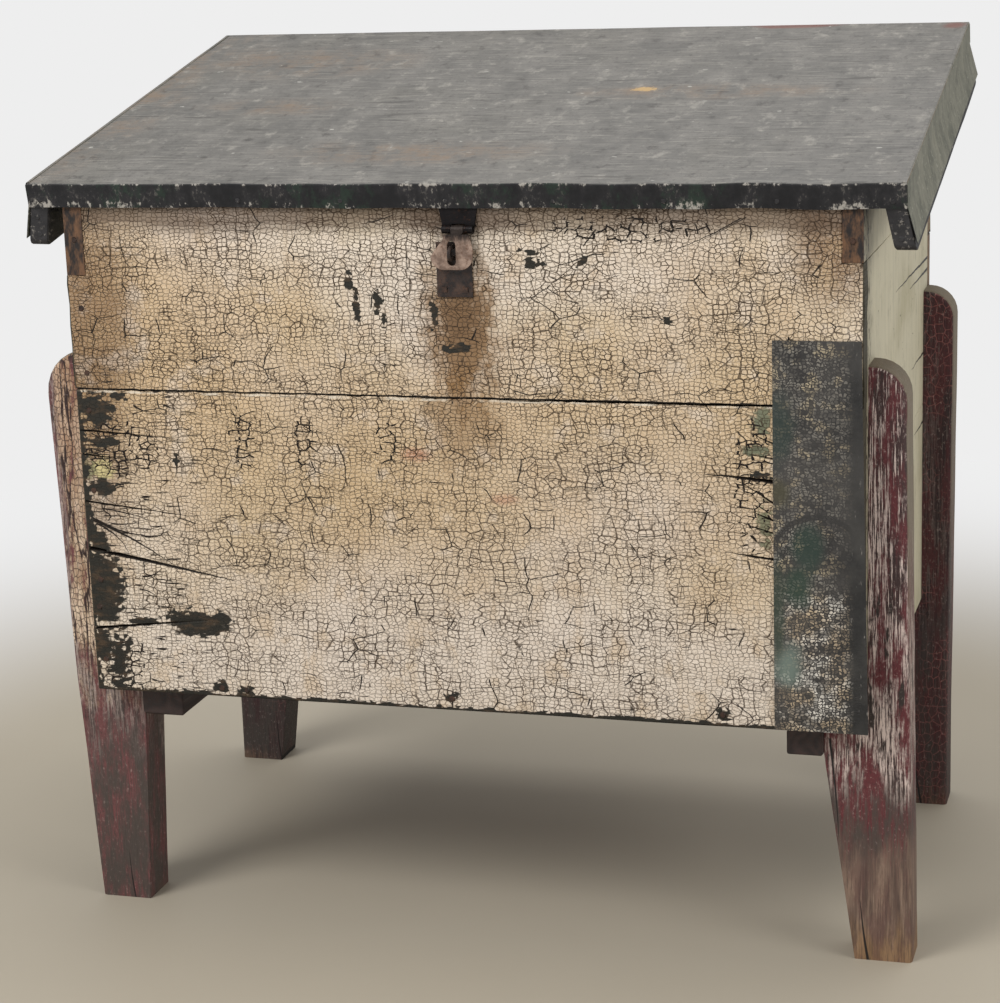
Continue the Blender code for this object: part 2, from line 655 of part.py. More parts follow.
# Screws of the hinges and of the hasp strap
upward = Vector(lid_point(0, 0, 1)) - Vector(lid_point(0, 0, 0))
leaf_screws = {}
flap_screws = {}
for label, centre in (("left", -hinge_x), ("right", hinge_x)):
    for end, dx in (("outer", -HINGE_WIDTH * 0.3), ("inner", HINGE_WIDTH * 0.3)):
        if label == "right":
            dx = -dx
        leaf_point = (centre + dx, BOX_DEPTH + CLEAR + HINGE_SHEET, hinge_z - HINGE_LEAF * 0.7)
        flap_point = lid_point(centre + dx, hinge_along - HINGE_LEAF * 0.85, 0)
        leaf_screws[f"hinge_{label}_leaf_screw_{end}"] = (leaf_point, (0, -1, 0))
        flap_screws[f"hinge_{label}_flap_screw_{end}"] = (flap_point, upward)
fasteners(SCREW, SCREW_LENGTH, leaf_screws, [*hinge_leaves, back_upper], 8, False)
lid_screws = fasteners(SCREW, SCREW_LENGTH, flap_screws, [*hinge_flaps, lid_boards[-1]], 8, False)
strap_screws = {}
for label, dx in (("left", -STRAP_WIDTH * 0.27), ("right", STRAP_WIDTH * 0.27)):
    strap_screws[f"hasp_strap_screw_{label}"] = (
        lid_point(STRAP_X + dx, STRAP_LENGTH * 0.83, 0), upward,
    )
lid_screws += fasteners(SCREW, SCREW_LENGTH, strap_screws, [hasp_strap, lid_boards[0]], 8, False)

# The assembled bin stands centred on the origin; moving pieces have theirs on the joint axis
lid_pieces = [
    *lid_boards, lid_cover, *cleats.values(), *hinge_flaps, hasp_strap, hasp_pin, *lid_screws,
]
centring = Vector((0, -middle_y, 0))
for obj in bpy.context.scene.collection.objects:
    pivot = Vector((0, 0, 0))
    if obj in lid_pieces:
        pivot = Vector((0, hinge_y, hinge_z)) + centring
    if obj == hasp_leaf:
        pivot = Vector((0, hasp_y, HASP_PIN_Z)) + centring
    obj.data.transform(Matrix.Translation(centring - pivot))
    obj.data.shade_smooth()
    obj.data.set_sharp_from_angle(angle=math.radians(35))
    obj.location = pivot
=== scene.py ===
import math

import bmesh
import bpy
from mathutils import Matrix, Vector, noise


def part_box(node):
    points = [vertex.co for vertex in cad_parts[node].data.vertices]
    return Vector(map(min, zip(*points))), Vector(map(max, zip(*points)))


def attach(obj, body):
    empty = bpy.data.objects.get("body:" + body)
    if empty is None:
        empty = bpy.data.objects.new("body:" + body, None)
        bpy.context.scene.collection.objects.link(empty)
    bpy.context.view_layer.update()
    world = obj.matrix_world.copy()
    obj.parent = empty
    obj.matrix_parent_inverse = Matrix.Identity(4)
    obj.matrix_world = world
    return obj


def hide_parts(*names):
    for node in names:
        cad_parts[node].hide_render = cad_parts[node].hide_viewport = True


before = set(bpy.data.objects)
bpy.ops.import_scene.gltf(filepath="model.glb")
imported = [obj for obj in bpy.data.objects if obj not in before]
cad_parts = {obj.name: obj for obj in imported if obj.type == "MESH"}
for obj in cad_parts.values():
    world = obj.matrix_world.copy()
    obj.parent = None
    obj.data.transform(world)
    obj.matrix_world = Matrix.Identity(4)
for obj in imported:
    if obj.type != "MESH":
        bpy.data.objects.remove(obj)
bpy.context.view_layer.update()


# Bottom boards and runners
# Three bare softwood boards lie across between the sides, nailed down into two scantlings that run
# from front to back against the legs. All of it is unpainted, darkened with age and handling.

def tint(red, green, blue):
    """Colour of a paint, wood or metal as the eye reads it, 0 to 255, made linear."""
    shares = [level / 255 for level in (red, green, blue)]
    return (*[s / 12.92 if s < 0.04045 else ((s + 0.055) / 1.055) ** 2.4 for s in shares], 1.0)


class Value:
    """What a shader node puts out. Sums and products with it become Math nodes of the same tree."""

    def __init__(self, tree, socket):
        self.tree = tree
        self.socket = socket

    def __add__(self, other):
        return figure("ADD", self, other)

    def __sub__(self, other):
        return figure("SUBTRACT", self, other)

    def __rsub__(self, other):
        return figure("SUBTRACT", other, self)

    def __mul__(self, other):
        return figure("MULTIPLY", self, other)

    def __truediv__(self, other):
        return figure("DIVIDE", self, other)

    def __rtruediv__(self, other):
        return figure("DIVIDE", other, self)

    def __abs__(self):
        return figure("ABSOLUTE", self)


def put(kind, inputs, out=0, tree=None, **settings):
    """Adds a shader node or a group, sets or links its inputs, and gives back one output."""
    for value in inputs.values():
        if isinstance(value, Value):
            tree = value.tree
    if isinstance(kind, str):
        node = tree.nodes.new("ShaderNode" + kind)
    else:
        node = tree.nodes.new("ShaderNodeGroup")
        node.node_tree = kind
    for name, value in settings.items():
        setattr(node, name, value)
    for key, value in inputs.items():
        if isinstance(value, Value):
            tree.links.new(value.socket, node.inputs[key])
        else:
            node.inputs[key].default_value = value
    return Value(tree, node.outputs[out])


def link(sockets, values):
    """Links values to sockets by name."""
    for name, value in values.items():
        value.tree.links.new(value.socket, sockets[name])


def figure(operation, first, second=0.0):
    return put("Math", {0: first, 1: second}, operation=operation)


def vector(operation, first, second):
    return put("VectorMath", {0: first, 1: second}, operation=operation)


def dot(first, second):
    return put("VectorMath", {0: first, 1: second}, out="Value", operation="DOT_PRODUCT")


def axes(place, names="XYZ"):
    return [put("SeparateXYZ", {0: place}, out=name) for name in names]


def ramp(value, low, high):
    """Smooth step from 0 at low to 1 at high."""
    ends = {"Value": value, "From Min": low, "From Max": high}
    return put("MapRange", ends, interpolation_type="SMOOTHSTEP")


def joined(masks):
    """Largest of several masks."""
    whole = masks[0]
    for mask in masks[1:]:
        whole = figure("MAXIMUM", whole, mask)
    return whole


def over(mask, under, top):
    """One colour laid over another where the mask is 1; a colour is three levels or a value."""
    under, top = (c if isinstance(c, Value) else tint(*c) for c in (under, top))
    return put("Mix", {0: mask, 6: under, 7: top}, out=2, data_type="RGBA")


def coats(colour, *layers):
    """Colours laid over a first one in turn, each given as its mask and its colour."""
    for mask, top in layers:
        colour = over(mask, colour, top)
    return colour


def cloud(place, scale, detail=3.0, rough=0.5):
    """Soft noise from 0 to 1, with a scale for each axis in waves to the metre."""
    stretched = put("Mapping", {"Vector": place, "Scale": scale})
    return put("TexNoise", {"Vector": stretched, "Scale": 1.0, "Detail": detail, "Roughness": rough})


def effect(name, inputs, outputs):
    """Empty node group with named sockets: its tree, the values that come in, and where they go out."""
    tree = bpy.data.node_groups.new(name, "ShaderNodeTree")
    for label, kind in inputs.items():
        tree.interface.new_socket(name=label, in_out="INPUT", socket_type="NodeSocket" + kind)
    for label in outputs:
        tree.interface.new_socket(name=label, in_out="OUTPUT", socket_type="NodeSocketFloat")
    incoming = tree.nodes.new("NodeGroupInput").outputs
    outgoing = tree.nodes.new("NodeGroupOutput").inputs
    return tree, {label: Value(tree, incoming[label]) for label in inputs}, outgoing


def finish(name):
    """New material and the coordinates of the piece that wears it."""
    material = bpy.data.materials.new(name)
    material.use_nodes = True
    return material, put("TexCoord", {}, out="Object", tree=material.node_tree)


RELIEF = 0.9


def surface(material, colour, roughness, height, depth, shine=0.5, metal=0.0):
    """Links colour, roughness and relief of a finish to its shader and gives the material back."""
    relief = put("Bump", {"Strength": RELIEF, "Distance": depth, "Height": height})
    sockets = material.node_tree.nodes["Principled BSDF"].inputs
    link(sockets, {"Base Color": colour, "Roughness": roughness, "Normal": relief})
    sockets["Specular IOR Level"].default_value = shine
    sockets["Metallic"].default_value = metal
    return material


# fibres and growth bands of sawn wood, with the grain along X
grain, grain_in, grain_out = effect("sawn_grain", {"Vector": "Vector"}, ("Tone", "Fibre"))
trunk = cloud(grain_in["Vector"], (1.1, 13, 13), 2.0, 0.45)
rings = figure("SINE", trunk * 95.0)
bands = cloud(grain_in["Vector"], (2.4, 46, 46), 3.0, 0.55)
fibre = cloud(grain_in["Vector"], (9, 330, 330), 4.0, 0.65)
tone = ramp(bands * 0.45 + fibre * 0.55 + rings * 0.07, 0.32, 0.68)
link(grain_out, {"Tone": tone, "Fibre": fibre})

ALONG_X = (0.0, 0.0, 0.0)
ALONG_Y = (0.0, 0.0, -math.pi / 2)
ALONG_Z = (0.0, math.pi / 2, 0.0)
JOINT_DIRT = (34, 27, 21)
JOINT_FADE = (0.0030, 0.0008)


def sawn_wood(place, run, light, dark):
    """Colour and fibre height of bare wood whose grain runs along one axis."""
    turned = put("Mapping", {"Vector": place, "Rotation": run})
    tone, fibre = (put(grain, {"Vector": turned}, out=name) for name in ("Tone", "Fibre"))
    stain = ramp(cloud(place, (9, 9, 9), 4.0, 0.6), 0.42, 0.72)
    return over(stain * 0.45, over(tone, dark, light), dark), fibre


def joints(value, places):
    """Mask of the dirty lines where boards meet, at places along one way."""
    return joined([ramp(abs(value - place), *JOINT_FADE) for place in places])


def bare_wood(name, run, light, dark, across=(0, 1, 0), meets=()):
    """Finish of bare boards, with dirt in the joints that lie at the places where they meet."""
    material, place = finish(name)
    colour, fibre = sawn_wood(place, run, light, dark)
    if meets:
        colour = over(joints(dot(place, across), meets) * 0.8, colour, JOINT_DIRT)
    return surface(material, colour, ramp(fibre, -0.6, 1.2), fibre, 0.0006)


def board(node):
    """A board sawn to its CAD node's box."""
    low, high = (Vector(corner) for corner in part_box(node))
    bm = bmesh.new()
    place = Matrix.Translation((low + high) / 2) @ Matrix.Diagonal((*(high - low), 1.0))
    bmesh.ops.create_cube(bm, size=1.0, matrix=place)
    return bm


def everything(bm):
    return bm.verts[:] + bm.edges[:] + bm.faces[:]


def score(bm, **steps):
    """Cuts a mesh across at equal steps along its axes, so that wear has points to move."""
    for axis, step in steps.items():
        places = [getattr(v.co, axis) for v in bm.verts]
        low, high = min(places), max(places)
        count = max(1, round((high - low) / step))
        across = Vector([float(axis == other) for other in "xyz"])
        for k in range(1, count):
            cut = across * (low + (high - low) * k / count)
            bmesh.ops.bisect_plane(bm, geom=everything(bm), plane_co=cut, plane_no=across)


def round_over(bm, edges, radius, segments=2):
    """Rounds some edges of a mesh."""
    bmesh.ops.bevel(
        bm, geom=edges, offset=radius, offset_type="OFFSET", segments=segments, profile=0.5,
        affect="EDGES", material=-1, clamp_overlap=True,
    )


def sharp_edges(bm, least):
    """Edges whose faces turn by more than some degrees."""
    return [e for e in bm.edges if e.is_manifold and e.calc_face_angle() > math.radians(least)]


EASED_TURN = 30
ON_EDGE = 0.96
FACE_WAVES = 11.0
CHIPPED_SHARE = 0.15


def weather(bm, ease, chip, wave, chips=45.0):
    """Eases the sharp edges, bites chips out of them and lets the faces wander a little."""
    round_over(bm, sharp_edges(bm, EASED_TURN), ease)
    bm.normal_update()
    moves = []
    for v in bm.verts:
        shift = noise.noise(v.co * FACE_WAVES) * wave
        if min(v.normal.dot(f.normal) for f in v.link_faces) < ON_EDGE:
            shift -= max(0.0, noise.noise(v.co * chips) + CHIPPED_SHARE) * chip
        moves.append(v.normal * shift)
    for v, move in zip(bm.verts, moves):
        v.co += move


SMOOTH_TURN = math.cos(math.radians(50))
SLIVER = 0.00002


def rounding(bm):
    """Shading normals of all corners: the larger a face at a corner, the more it counts there."""
    bm.normal_update()
    areas = {face: face.calc_area() for face in bm.faces}
    normals = []
    for face in bm.faces:
        for vert in face.verts:
            whole = face.normal * areas[face]
            for other in vert.link_faces:
                if other is not face and other.normal.dot(face.normal) > SMOOTH_TURN:
                    whole = whole + other.normal * areas[other]
            normals.append(whole.normalized() if whole.length > 0 else face.normal)
    return normals


def piece(name, bm, material, body, slot, *nodes):
    """Finished piece of a mesh: shaded, dressed, riding on its body, in place of its CAD nodes."""
    bmesh.ops.dissolve_degenerate(bm, dist=SLIVER, edges=bm.edges)
    bmesh.ops.recalc_face_normals(bm, faces=bm.faces)
    mesh = bpy.data.meshes.new(name)
    bm.to_mesh(mesh)
    shading = rounding(bm)
    bm.free()
    mesh.shade_smooth()
    mesh.normals_split_custom_set(shading)
    mesh.materials.append(material)
    obj = bpy.data.objects.new(name, mesh)
    bpy.context.scene.collection.objects.link(obj)
    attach(obj, body)
    if nodes:
        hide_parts(*nodes)


bottom_meets = [corner[1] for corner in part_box("bottom_board_middle")]
bottom_wood = bare_wood("aged_bottom_wood", ALONG_X, (150, 118, 84), (92, 68, 47), (0, 1, 0), bottom_meets)
for part in ("front", "middle", "back"):
    bm = board(f"bottom_board_{part}")
    score(bm, x=0.02)
    weather(bm, ease=0.0008, chip=0.0012, wave=0.0003)
    piece(f"bottom_{part}", bm, bottom_wood, "bin", "bare_wood", f"bottom_board_{part}")
runner_wood = bare_wood("dark_runner_wood", ALONG_Y, (66, 50, 46), (36, 27, 26))
for side in ("left", "right"):
    bm = board(f"runner_{side}")
    score(bm, y=0.02)
    weather(bm, ease=0.002, chip=0.002, wave=0.0004)
    piece(f"scantling_{side}", bm, runner_wood, "bin", "bare_wood", f"runner_{side}")


# Side boards
# Each side is two plain boards and a tapered top board nailed one above the other, with the grain
# from front to back. The outside has smooth grey-green paint with brush runs; the inside is bare.

LID_SLOPE = math.radians(11.4)
lid_up = Vector((0, -math.sin(LID_SLOPE), math.cos(LID_SLOPE)))


def slant(bm, node):
    """Saws the top of a board to the slope of the lid, from its high back edge, and closes the cut."""
    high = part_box(node)[1]
    cut = bmesh.ops.bisect_plane(
        bm, geom=everything(bm), plane_co=(0, high[1], high[2]), plane_no=lid_up, clear_outer=True,
    )
    rim = [e for e in cut["geom_cut"] if isinstance(e, bmesh.types.BMEdge)]
    bmesh.ops.contextual_create(bm, geom=rim)


# mask of a fine split or scratch: a line from its open end to its tip, bowed and narrowing as it goes
split, split_in, split_out = effect(
    "fine_split",
    {
        "Vector": "Vector", "From": "Vector", "To": "Vector",
        "Bow": "Float", "Width": "Float", "Wander": "Float",
    },
    ("Mask",),
)
run = vector("SUBTRACT", split_in["To"], split_in["From"])
away = vector("SUBTRACT", split_in["Vector"], split_in["From"])
share = dot(away, run) / dot(run, run)
turned = put("Mapping", {"Vector": run, "Rotation": (0.0, -math.pi / 2, 0.0)})
beside = put("VectorMath", {0: turned}, operation="NORMALIZE")
curve = share * (1.0 - share) * split_in["Bow"] * 4.0
gap = abs(dot(away, beside) - curve + split_in["Wander"])
width = split_in["Width"] * (1.15 - share)
inside = ramp(share, -0.02, 0.0) * ramp(share, 1.0, 0.97)
link(split_out, {"Mask": ramp(gap, width, width * 0.4) * inside})


def scratch(face, start, tip, bow, width, wander):
    """Mask of one split or scratch, its open end and its tip given as two places in the face."""
    ends = {"From": (start[0], 0, start[1]), "To": (tip[0], 0, tip[1])}
    return put(split, {"Vector": face, **ends, "Bow": bow, "Width": width, "Wander": wander})


FRONT_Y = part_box("front_board_lower")[0][1]
SIDE_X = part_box("side_right_lower")[1][0]
PALE_GREEN = (197, 189, 163)
PALE_SHADE = (174, 166, 140)
BLOCK_WOOD = (106, 74, 48)
BARE_LIGHT = (156, 126, 92)
BARE_DARK = (98, 74, 52)
DARK_CRACK = (38, 34, 28)
# cracks along the grain, from the back edge forward, as places (y, z)
SIDE_CRACKS = (
    ((0.234, 0.6014), (-0.03, 0.607)), ((0.234, 0.589), (0.08, 0.592)),
    ((0.234, 0.5045), (0.10, 0.506)), ((0.234, 0.43), (0.12, 0.432)),
)


def side_paint():
    material, place = finish("grey_green_side_paint")
    wood = sawn_wood(place, ALONG_Y, BARE_LIGHT, BARE_DARK)[0]
    x, y, z = axes(place)
    brush = cloud(place, (60, 400, 6), 4.0, 0.7)
    cloudy = cloud(place, (7, 7, 9), 4.0, 0.6)
    dirt = cloud(place, (90, 90, 40), 4.0, 0.75)
    wander = (cloud(place, (30, 30, 30)) - 0.5) * 0.006
    flat = put("CombineXYZ", {0: y, 1: 0.0, 2: z})
    cracks = [scratch(flat, start, tip, 0.0, 0.002, wander) for start, tip in SIDE_CRACKS]
    # fine specks where the paint has come off the raised grain
    specks = ramp(cloud(place, (160, 60, 160), 2.0), 0.70, 0.76)
    cracked = joined([*cracks, specks * 0.6])
    # chips and dirt along the front edge
    edge_band = ramp(y + cloudy * 0.03, FRONT_Y + 0.085, FRONT_Y + 0.028)
    bits = ramp(cloud(place, (110, 110, 70), 3.0, 0.7), 0.53, 0.60) * edge_band
    paint = coats(
        over(ramp(brush, 0.30, 0.60), PALE_SHADE, PALE_GREEN),
        (ramp(cloudy, 0.46, 0.66) * 0.6, (160, 151, 118)),
        (ramp(dirt, 0.54, 0.72) * 0.5, (128, 120, 92)),
        (cracked, DARK_CRACK),
        (edge_band * 0.6, (112, 104, 82)),
        (bits, DARK_CRACK),
    )
    # only the outer face is painted, and the top board's end in the front is bare, stained brown
    meets = [corner[2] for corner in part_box("side_right_upper")]
    end_grain = ramp(cloud(place, (150, 150, 60), 4.0, 0.65), 0.36, 0.66)
    colour = coats(
        wood,
        (joints(z, meets) * 0.8, JOINT_DIRT),
        (ramp(abs(x), SIDE_X - 0.004, SIDE_X - 0.002), paint),
        (ramp(y, FRONT_Y + 0.0025, FRONT_Y + 0.001), over(end_grain, (22, 15, 12), BLOCK_WOOD)),
    )
    return surface(material, colour, ramp(brush, -1.2, 1.6), brush * 0.3 - cracked, 0.0008)


side_finish = side_paint()
for side in ("left", "right"):
    for part in ("lower", "upper", "top"):
        name = f"side_{side}_{part}"
        bm = board(name)
        if part == "top":
            slant(bm, name)
        score(bm, y=0.016, z=0.03)
        weather(bm, ease=0.0009, chip=0.0012, wave=0.0003)
        piece(f"painted_{name}", bm, side_finish, "bin", "pale_paint", name)


# Back boards
# Three boards nailed across the ends of the sides. They stood against a wall, so the thin pale paint
# there has gone chalky and the brown wood shows through along the grain.

BACK_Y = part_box("back_board_lower")[1][1]


def back_paint():
    material, place = finish("chalky_back_paint")
    wood, fibre = sawn_wood(place, ALONG_X, (134, 110, 84), (92, 73, 55))
    y, z = axes(place, "YZ")
    worn = cloud(place, (8, 30, 60), 6.0, 0.72) + fibre * 1.1 + cloud(place, (3, 3, 4), 3.0) * 0.7
    left_on = ramp(worn, 1.56, 1.34) * 0.80
    outside = ramp(y, BACK_Y - 0.003, BACK_Y - 0.001)
    meets = [corner[2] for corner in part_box("back_board_middle")]
    colour = coats(
        wood,
        (left_on * outside, over(cloud(place, (6, 6, 6)), (146, 139, 117), (172, 164, 140))),
        (joints(z, meets) * 0.85, JOINT_DIRT),
    )
    return surface(material, colour, ramp(fibre, -1.6, 1.4), fibre, 0.0007)


back_finish = back_paint()
for part in ("lower", "middle", "upper"):
    name = f"back_board_{part}"
    bm = board(name)
    if part == "upper":
        slant(bm, name)
    score(bm, x=0.016, z=0.03)
    weather(bm, ease=0.0012, chip=0.0016, wave=0.0004)
    piece(f"worn_{name}", bm, back_finish, "bin", "back_paint", name)


# Front boards
# A wide lower and a narrower upper board nailed over the ends of the sides, the upper one notched for
# the side tops. Thick cream paint has dried into a close crackle, stained by rust and handling.

# mask of a worn or stained place: an ellipsoid about a centre, its rim shifted by a ragged value
patch, patch_in, patch_out = effect(
    "worn_place",
    {"Vector": "Vector", "Centre": "Vector", "Size": "Vector", "Ragged": "Float", "Edge": "Float"},
    ("Mask",),
)
offset = vector("DIVIDE", vector("SUBTRACT", patch_in["Vector"], patch_in["Centre"]), patch_in["Size"])
spread = put("VectorMath", {0: offset}, out="Value", operation="LENGTH") + patch_in["Ragged"]
link(patch_out, {"Mask": 1.0 - ramp(spread, 1.0 - patch_in["Edge"], patch_in["Edge"] + 1.0)})


def worn_place(face, centre, size, ragged, edge):
    """Mask of one worn or stained place of the front, its centre and half sizes given as (x, z)."""
    spot = {"Centre": (centre[0], 0, centre[1]), "Size": (size[0], 1, size[1])}
    return put(patch, {"Vector": face, **spot, "Ragged": ragged, "Edge": edge})


def swayed(place, waves, detail, reach):
    """Coordinates shifted about by noise, and the noise itself."""
    sway = put("TexNoise", {"Vector": place, "Scale": waves, "Detail": detail}, out=1)
    centred = vector("SUBTRACT", sway, (0.5, 0.5, 0.5))
    shift = put("VectorMath", {0: centred, "Scale": reach}, operation="SCALE")
    return vector("ADD", place, shift), sway


# crackled paint: the cracks between paint cells of a given size in metres, and a value for each cell
crackle, crackle_in, crackle_out = effect(
    "crackled_paint",
    {"Vector": "Vector", "Cell": "Float", "Stretch": "Float", "Width": "Float"},
    ("Crack", "Tone"),
)
moved, sway = swayed(crackle_in["Vector"], 30.0, 3.0, 0.013)
squeeze = put("CombineXYZ", {0: 1.0 / crackle_in["Stretch"], 1: 1.0, 2: 1.0})
cells = {
    "Vector": vector("MULTIPLY", moved, squeeze), "Scale": 1.0 / crackle_in["Cell"], "Randomness": 0.66,
}
rim = put("TexVoronoi", cells, out="Distance", feature="DISTANCE_TO_EDGE", voronoi_dimensions="2D")
shade = put("TexVoronoi", cells, out="Color", feature="F1", voronoi_dimensions="2D")
width = crackle_in["Width"] * (put("SeparateColor", {0: sway}, out=2) + 0.5)
link(crackle_out, {"Crack": ramp(rim, width, width * 0.5), "Tone": put("SeparateColor", {0: shade})})


def crackled(flat, cell, stretch, width, out="Crack"):
    return put(crackle, {"Vector": flat, "Cell": cell, "Stretch": stretch, "Width": width}, out=out)


CREAM = (222, 205, 174)
CREAM_PINK = (234, 221, 207)
TAN = (206, 176, 134)
RUST_BROWN = (122, 88, 54)
CRACK_BROWN = (70, 54, 38)
CRACK_DARK = (56, 40, 24)
CRACK_BLACK = (28, 21, 15)
UNDER_GREEN = (43, 41, 35)
# the next colour is grime and painted shade under the lid's overhang
LID_SHADE_AND_GRIME = (92, 74, 60)
GREY_WOOD = (90, 84, 68)
# stains as place (x, z), half sizes, strength and colour
STAINS = (
    ((0.02, 0.280), (0.42, 0.080), 0.85, CREAM_PINK),
    ((0.10, 0.660), (0.30, 0.035), 0.60, CREAM_PINK),
    ((-0.31, 0.590), (0.14, 0.12), 0.85, TAN),
    ((-0.36, 0.610), (0.05, 0.10), 0.65, RUST_BROWN),
    ((-0.17, 0.470), (0.18, 0.13), 0.60, TAN),
    ((0.03, 0.470), (0.17, 0.11), 0.62, TAN),
    ((0.19, 0.560), (0.18, 0.06), 0.50, TAN),
    ((0.26, 0.450), (0.08, 0.10), 0.62, TAN),
    ((0.28, 0.640), (0.10, 0.06), 0.45, TAN),
    ((0.356, 0.695), (0.036, 0.055), 0.85, RUST_BROWN),
    ((-0.362, 0.456), (0.030, 0.090), 0.55, RUST_BROWN),
    ((-0.038, 0.484), (0.013, 0.006), 0.60, (176, 96, 74)),
    ((0.048, 0.444), (0.012, 0.005), 0.45, (176, 96, 74)),
)
# rust and hand grease that has run down from the staple and the block ends, over all other stains
RUST_RUNS = (
    ((0.0120, 0.6020), (0.0330, 0.0680), 0.84, (124, 88, 44)),
    ((0.0125, 0.6180), (0.0200, 0.0340), 0.50, (88, 60, 32)),
    ((0.0100, 0.5150), (0.0360, 0.0400), 0.45, (136, 100, 58)),
    ((0.0060, 0.7050), (0.0420, 0.0140), 0.75, (70, 54, 42)),
    ((-0.3600, 0.6000), (0.0340, 0.0900), 0.35, RUST_BROWN),
)
# places where the paint is gone down to the dark coat below it
LOST_PAINT = (
    ((-0.3640, 0.5190), (0.0200, 0.0140)), ((-0.3545, 0.5066), (0.0080, 0.0055)),
    ((-0.3376, 0.5329), (0.0085, 0.0034)), ((-0.3550, 0.4870), (0.0150, 0.0046)),
    ((-0.3616, 0.4415), (0.0140, 0.0076)), ((-0.3690, 0.3890), (0.0130, 0.0110)),
    ((-0.3680, 0.3370), (0.0210, 0.0400)), ((-0.3740, 0.2800), (0.0140, 0.0200)),
    ((-0.3560, 0.2640), (0.0110, 0.0300)), ((-0.2700, 0.3080), (0.0330, 0.0130)),
    ((-0.2470, 0.3130), (0.0130, 0.0060)), ((-0.3250, 0.3070), (0.0160, 0.0040)),
    ((-0.0950, 0.6440), (0.0038, 0.0090)), ((-0.0890, 0.6260), (0.0030, 0.0140)),
    ((-0.0680, 0.6280), (0.0040, 0.0090)), ((-0.0630, 0.6110), (0.0030, 0.0090)),
    ((-0.0140, 0.6180), (0.0036, 0.0110)), ((0.0800, 0.6760), (0.0080, 0.0028)),
    ((0.0820, 0.6660), (0.0065, 0.0040)), ((0.1290, 0.6670), (0.0055, 0.0046)),
    ((0.2060, 0.6140), (0.0085, 0.0026)), ((0.0050, 0.5870), (0.0110, 0.0040)),
    ((-0.2810, 0.4690), (0.0026, 0.0090)), ((-0.2480, 0.2427), (0.0060, 0.0060)),
    ((-0.2218, 0.2401), (0.0080, 0.0060)), ((-0.0114, 0.2454), (0.0060, 0.0050)),
    ((0.2514, 0.2455), (0.0060, 0.0050)), ((0.2890, 0.4740), (0.0090, 0.0040)),
)
SMALL_LOSS = 0.012
# places with other colours: yellow and rust at the left edge, green at the right one
TINTED = (
    ((-0.3580, 0.4600), (0.0130, 0.0100), (206, 194, 138)),
    ((-0.3750, 0.4600), (0.0070, 0.0120), (112, 112, 84)),
    ((-0.3716, 0.3340), (0.0060, 0.0060), (158, 104, 50)),
    ((-0.3701, 0.3070), (0.0050, 0.0040), (168, 148, 116)),
    ((0.2907, 0.5232), (0.0080, 0.0110), (70, 92, 74)),
    ((0.2858, 0.4973), (0.0100, 0.0050), (70, 92, 74)),
    ((0.2920, 0.4300), (0.0060, 0.0180), (84, 96, 70)),
)
# zones where the crackle has opened into wide black gaps
OPENED = (
    ((0.180, 0.697), (0.070, 0.012)), ((-0.149, 0.500), (0.014, 0.030)),
    ((-0.066, 0.497), (0.014, 0.020)), ((-0.212, 0.496), (0.012, 0.030)),
    ((-0.335, 0.480), (0.040, 0.030)), ((-0.345, 0.260), (0.020, 0.030)),
    ((0.282, 0.460), (0.020, 0.060)),
)
# fine curved cracks round the knot and dragged scratches: from, to, bow, width
FINE_LINES = (
    ((-0.3750, 0.4120), (-0.2927, 0.3967), -0.0080, 0.0016),
    ((-0.3700, 0.4045), (-0.3368, 0.3756), 0.0050, 0.0015),
    ((-0.3750, 0.4090), (-0.2874, 0.3641), 0.0030, 0.0019),
    ((-0.3230, 0.3950), (-0.2941, 0.4010), -0.0040, 0.0014),
    ((-0.3536, 0.4053), (-0.3137, 0.4101), -0.0020, 0.0010),
    ((-0.3620, 0.4200), (-0.3020, 0.4060), 0.0025, 0.0011),
    ((-0.3376, 0.4449), (-0.3617, 0.4313), -0.0070, 0.0011),
    ((-0.3375, 0.4435), (-0.3517, 0.4305), -0.0040, 0.0011),
    ((-0.3244, 0.3530), (-0.3030, 0.3630), -0.0030, 0.0016),
    ((-0.3287, 0.3401), (-0.3095, 0.3315), 0.0020, 0.0013),
    ((-0.3216, 0.5242), (-0.3025, 0.5185), -0.0020, 0.0015),
    ((-0.2900, 0.5250), (-0.2780, 0.5215), 0.0000, 0.0015),
    ((-0.2805, 0.4780), (-0.2838, 0.4530), 0.0020, 0.0016),
    ((-0.2333, 0.3945), (-0.2240, 0.3700), 0.0020, 0.0010),
    ((-0.1150, 0.4915), (-0.1152, 0.4381), 0.0070, 0.0010),
    ((0.1156, 0.6991), (0.0982, 0.6875), 0.0, 0.0008),
    ((0.2723, 0.7068), (0.1846, 0.6687), 0.0030, 0.0007),
    ((0.2773, 0.7075), (0.2254, 0.6804), 0.0, 0.0006),
    ((0.1393, 0.6741), (0.0884, 0.6577), 0.0, 0.0009),
)
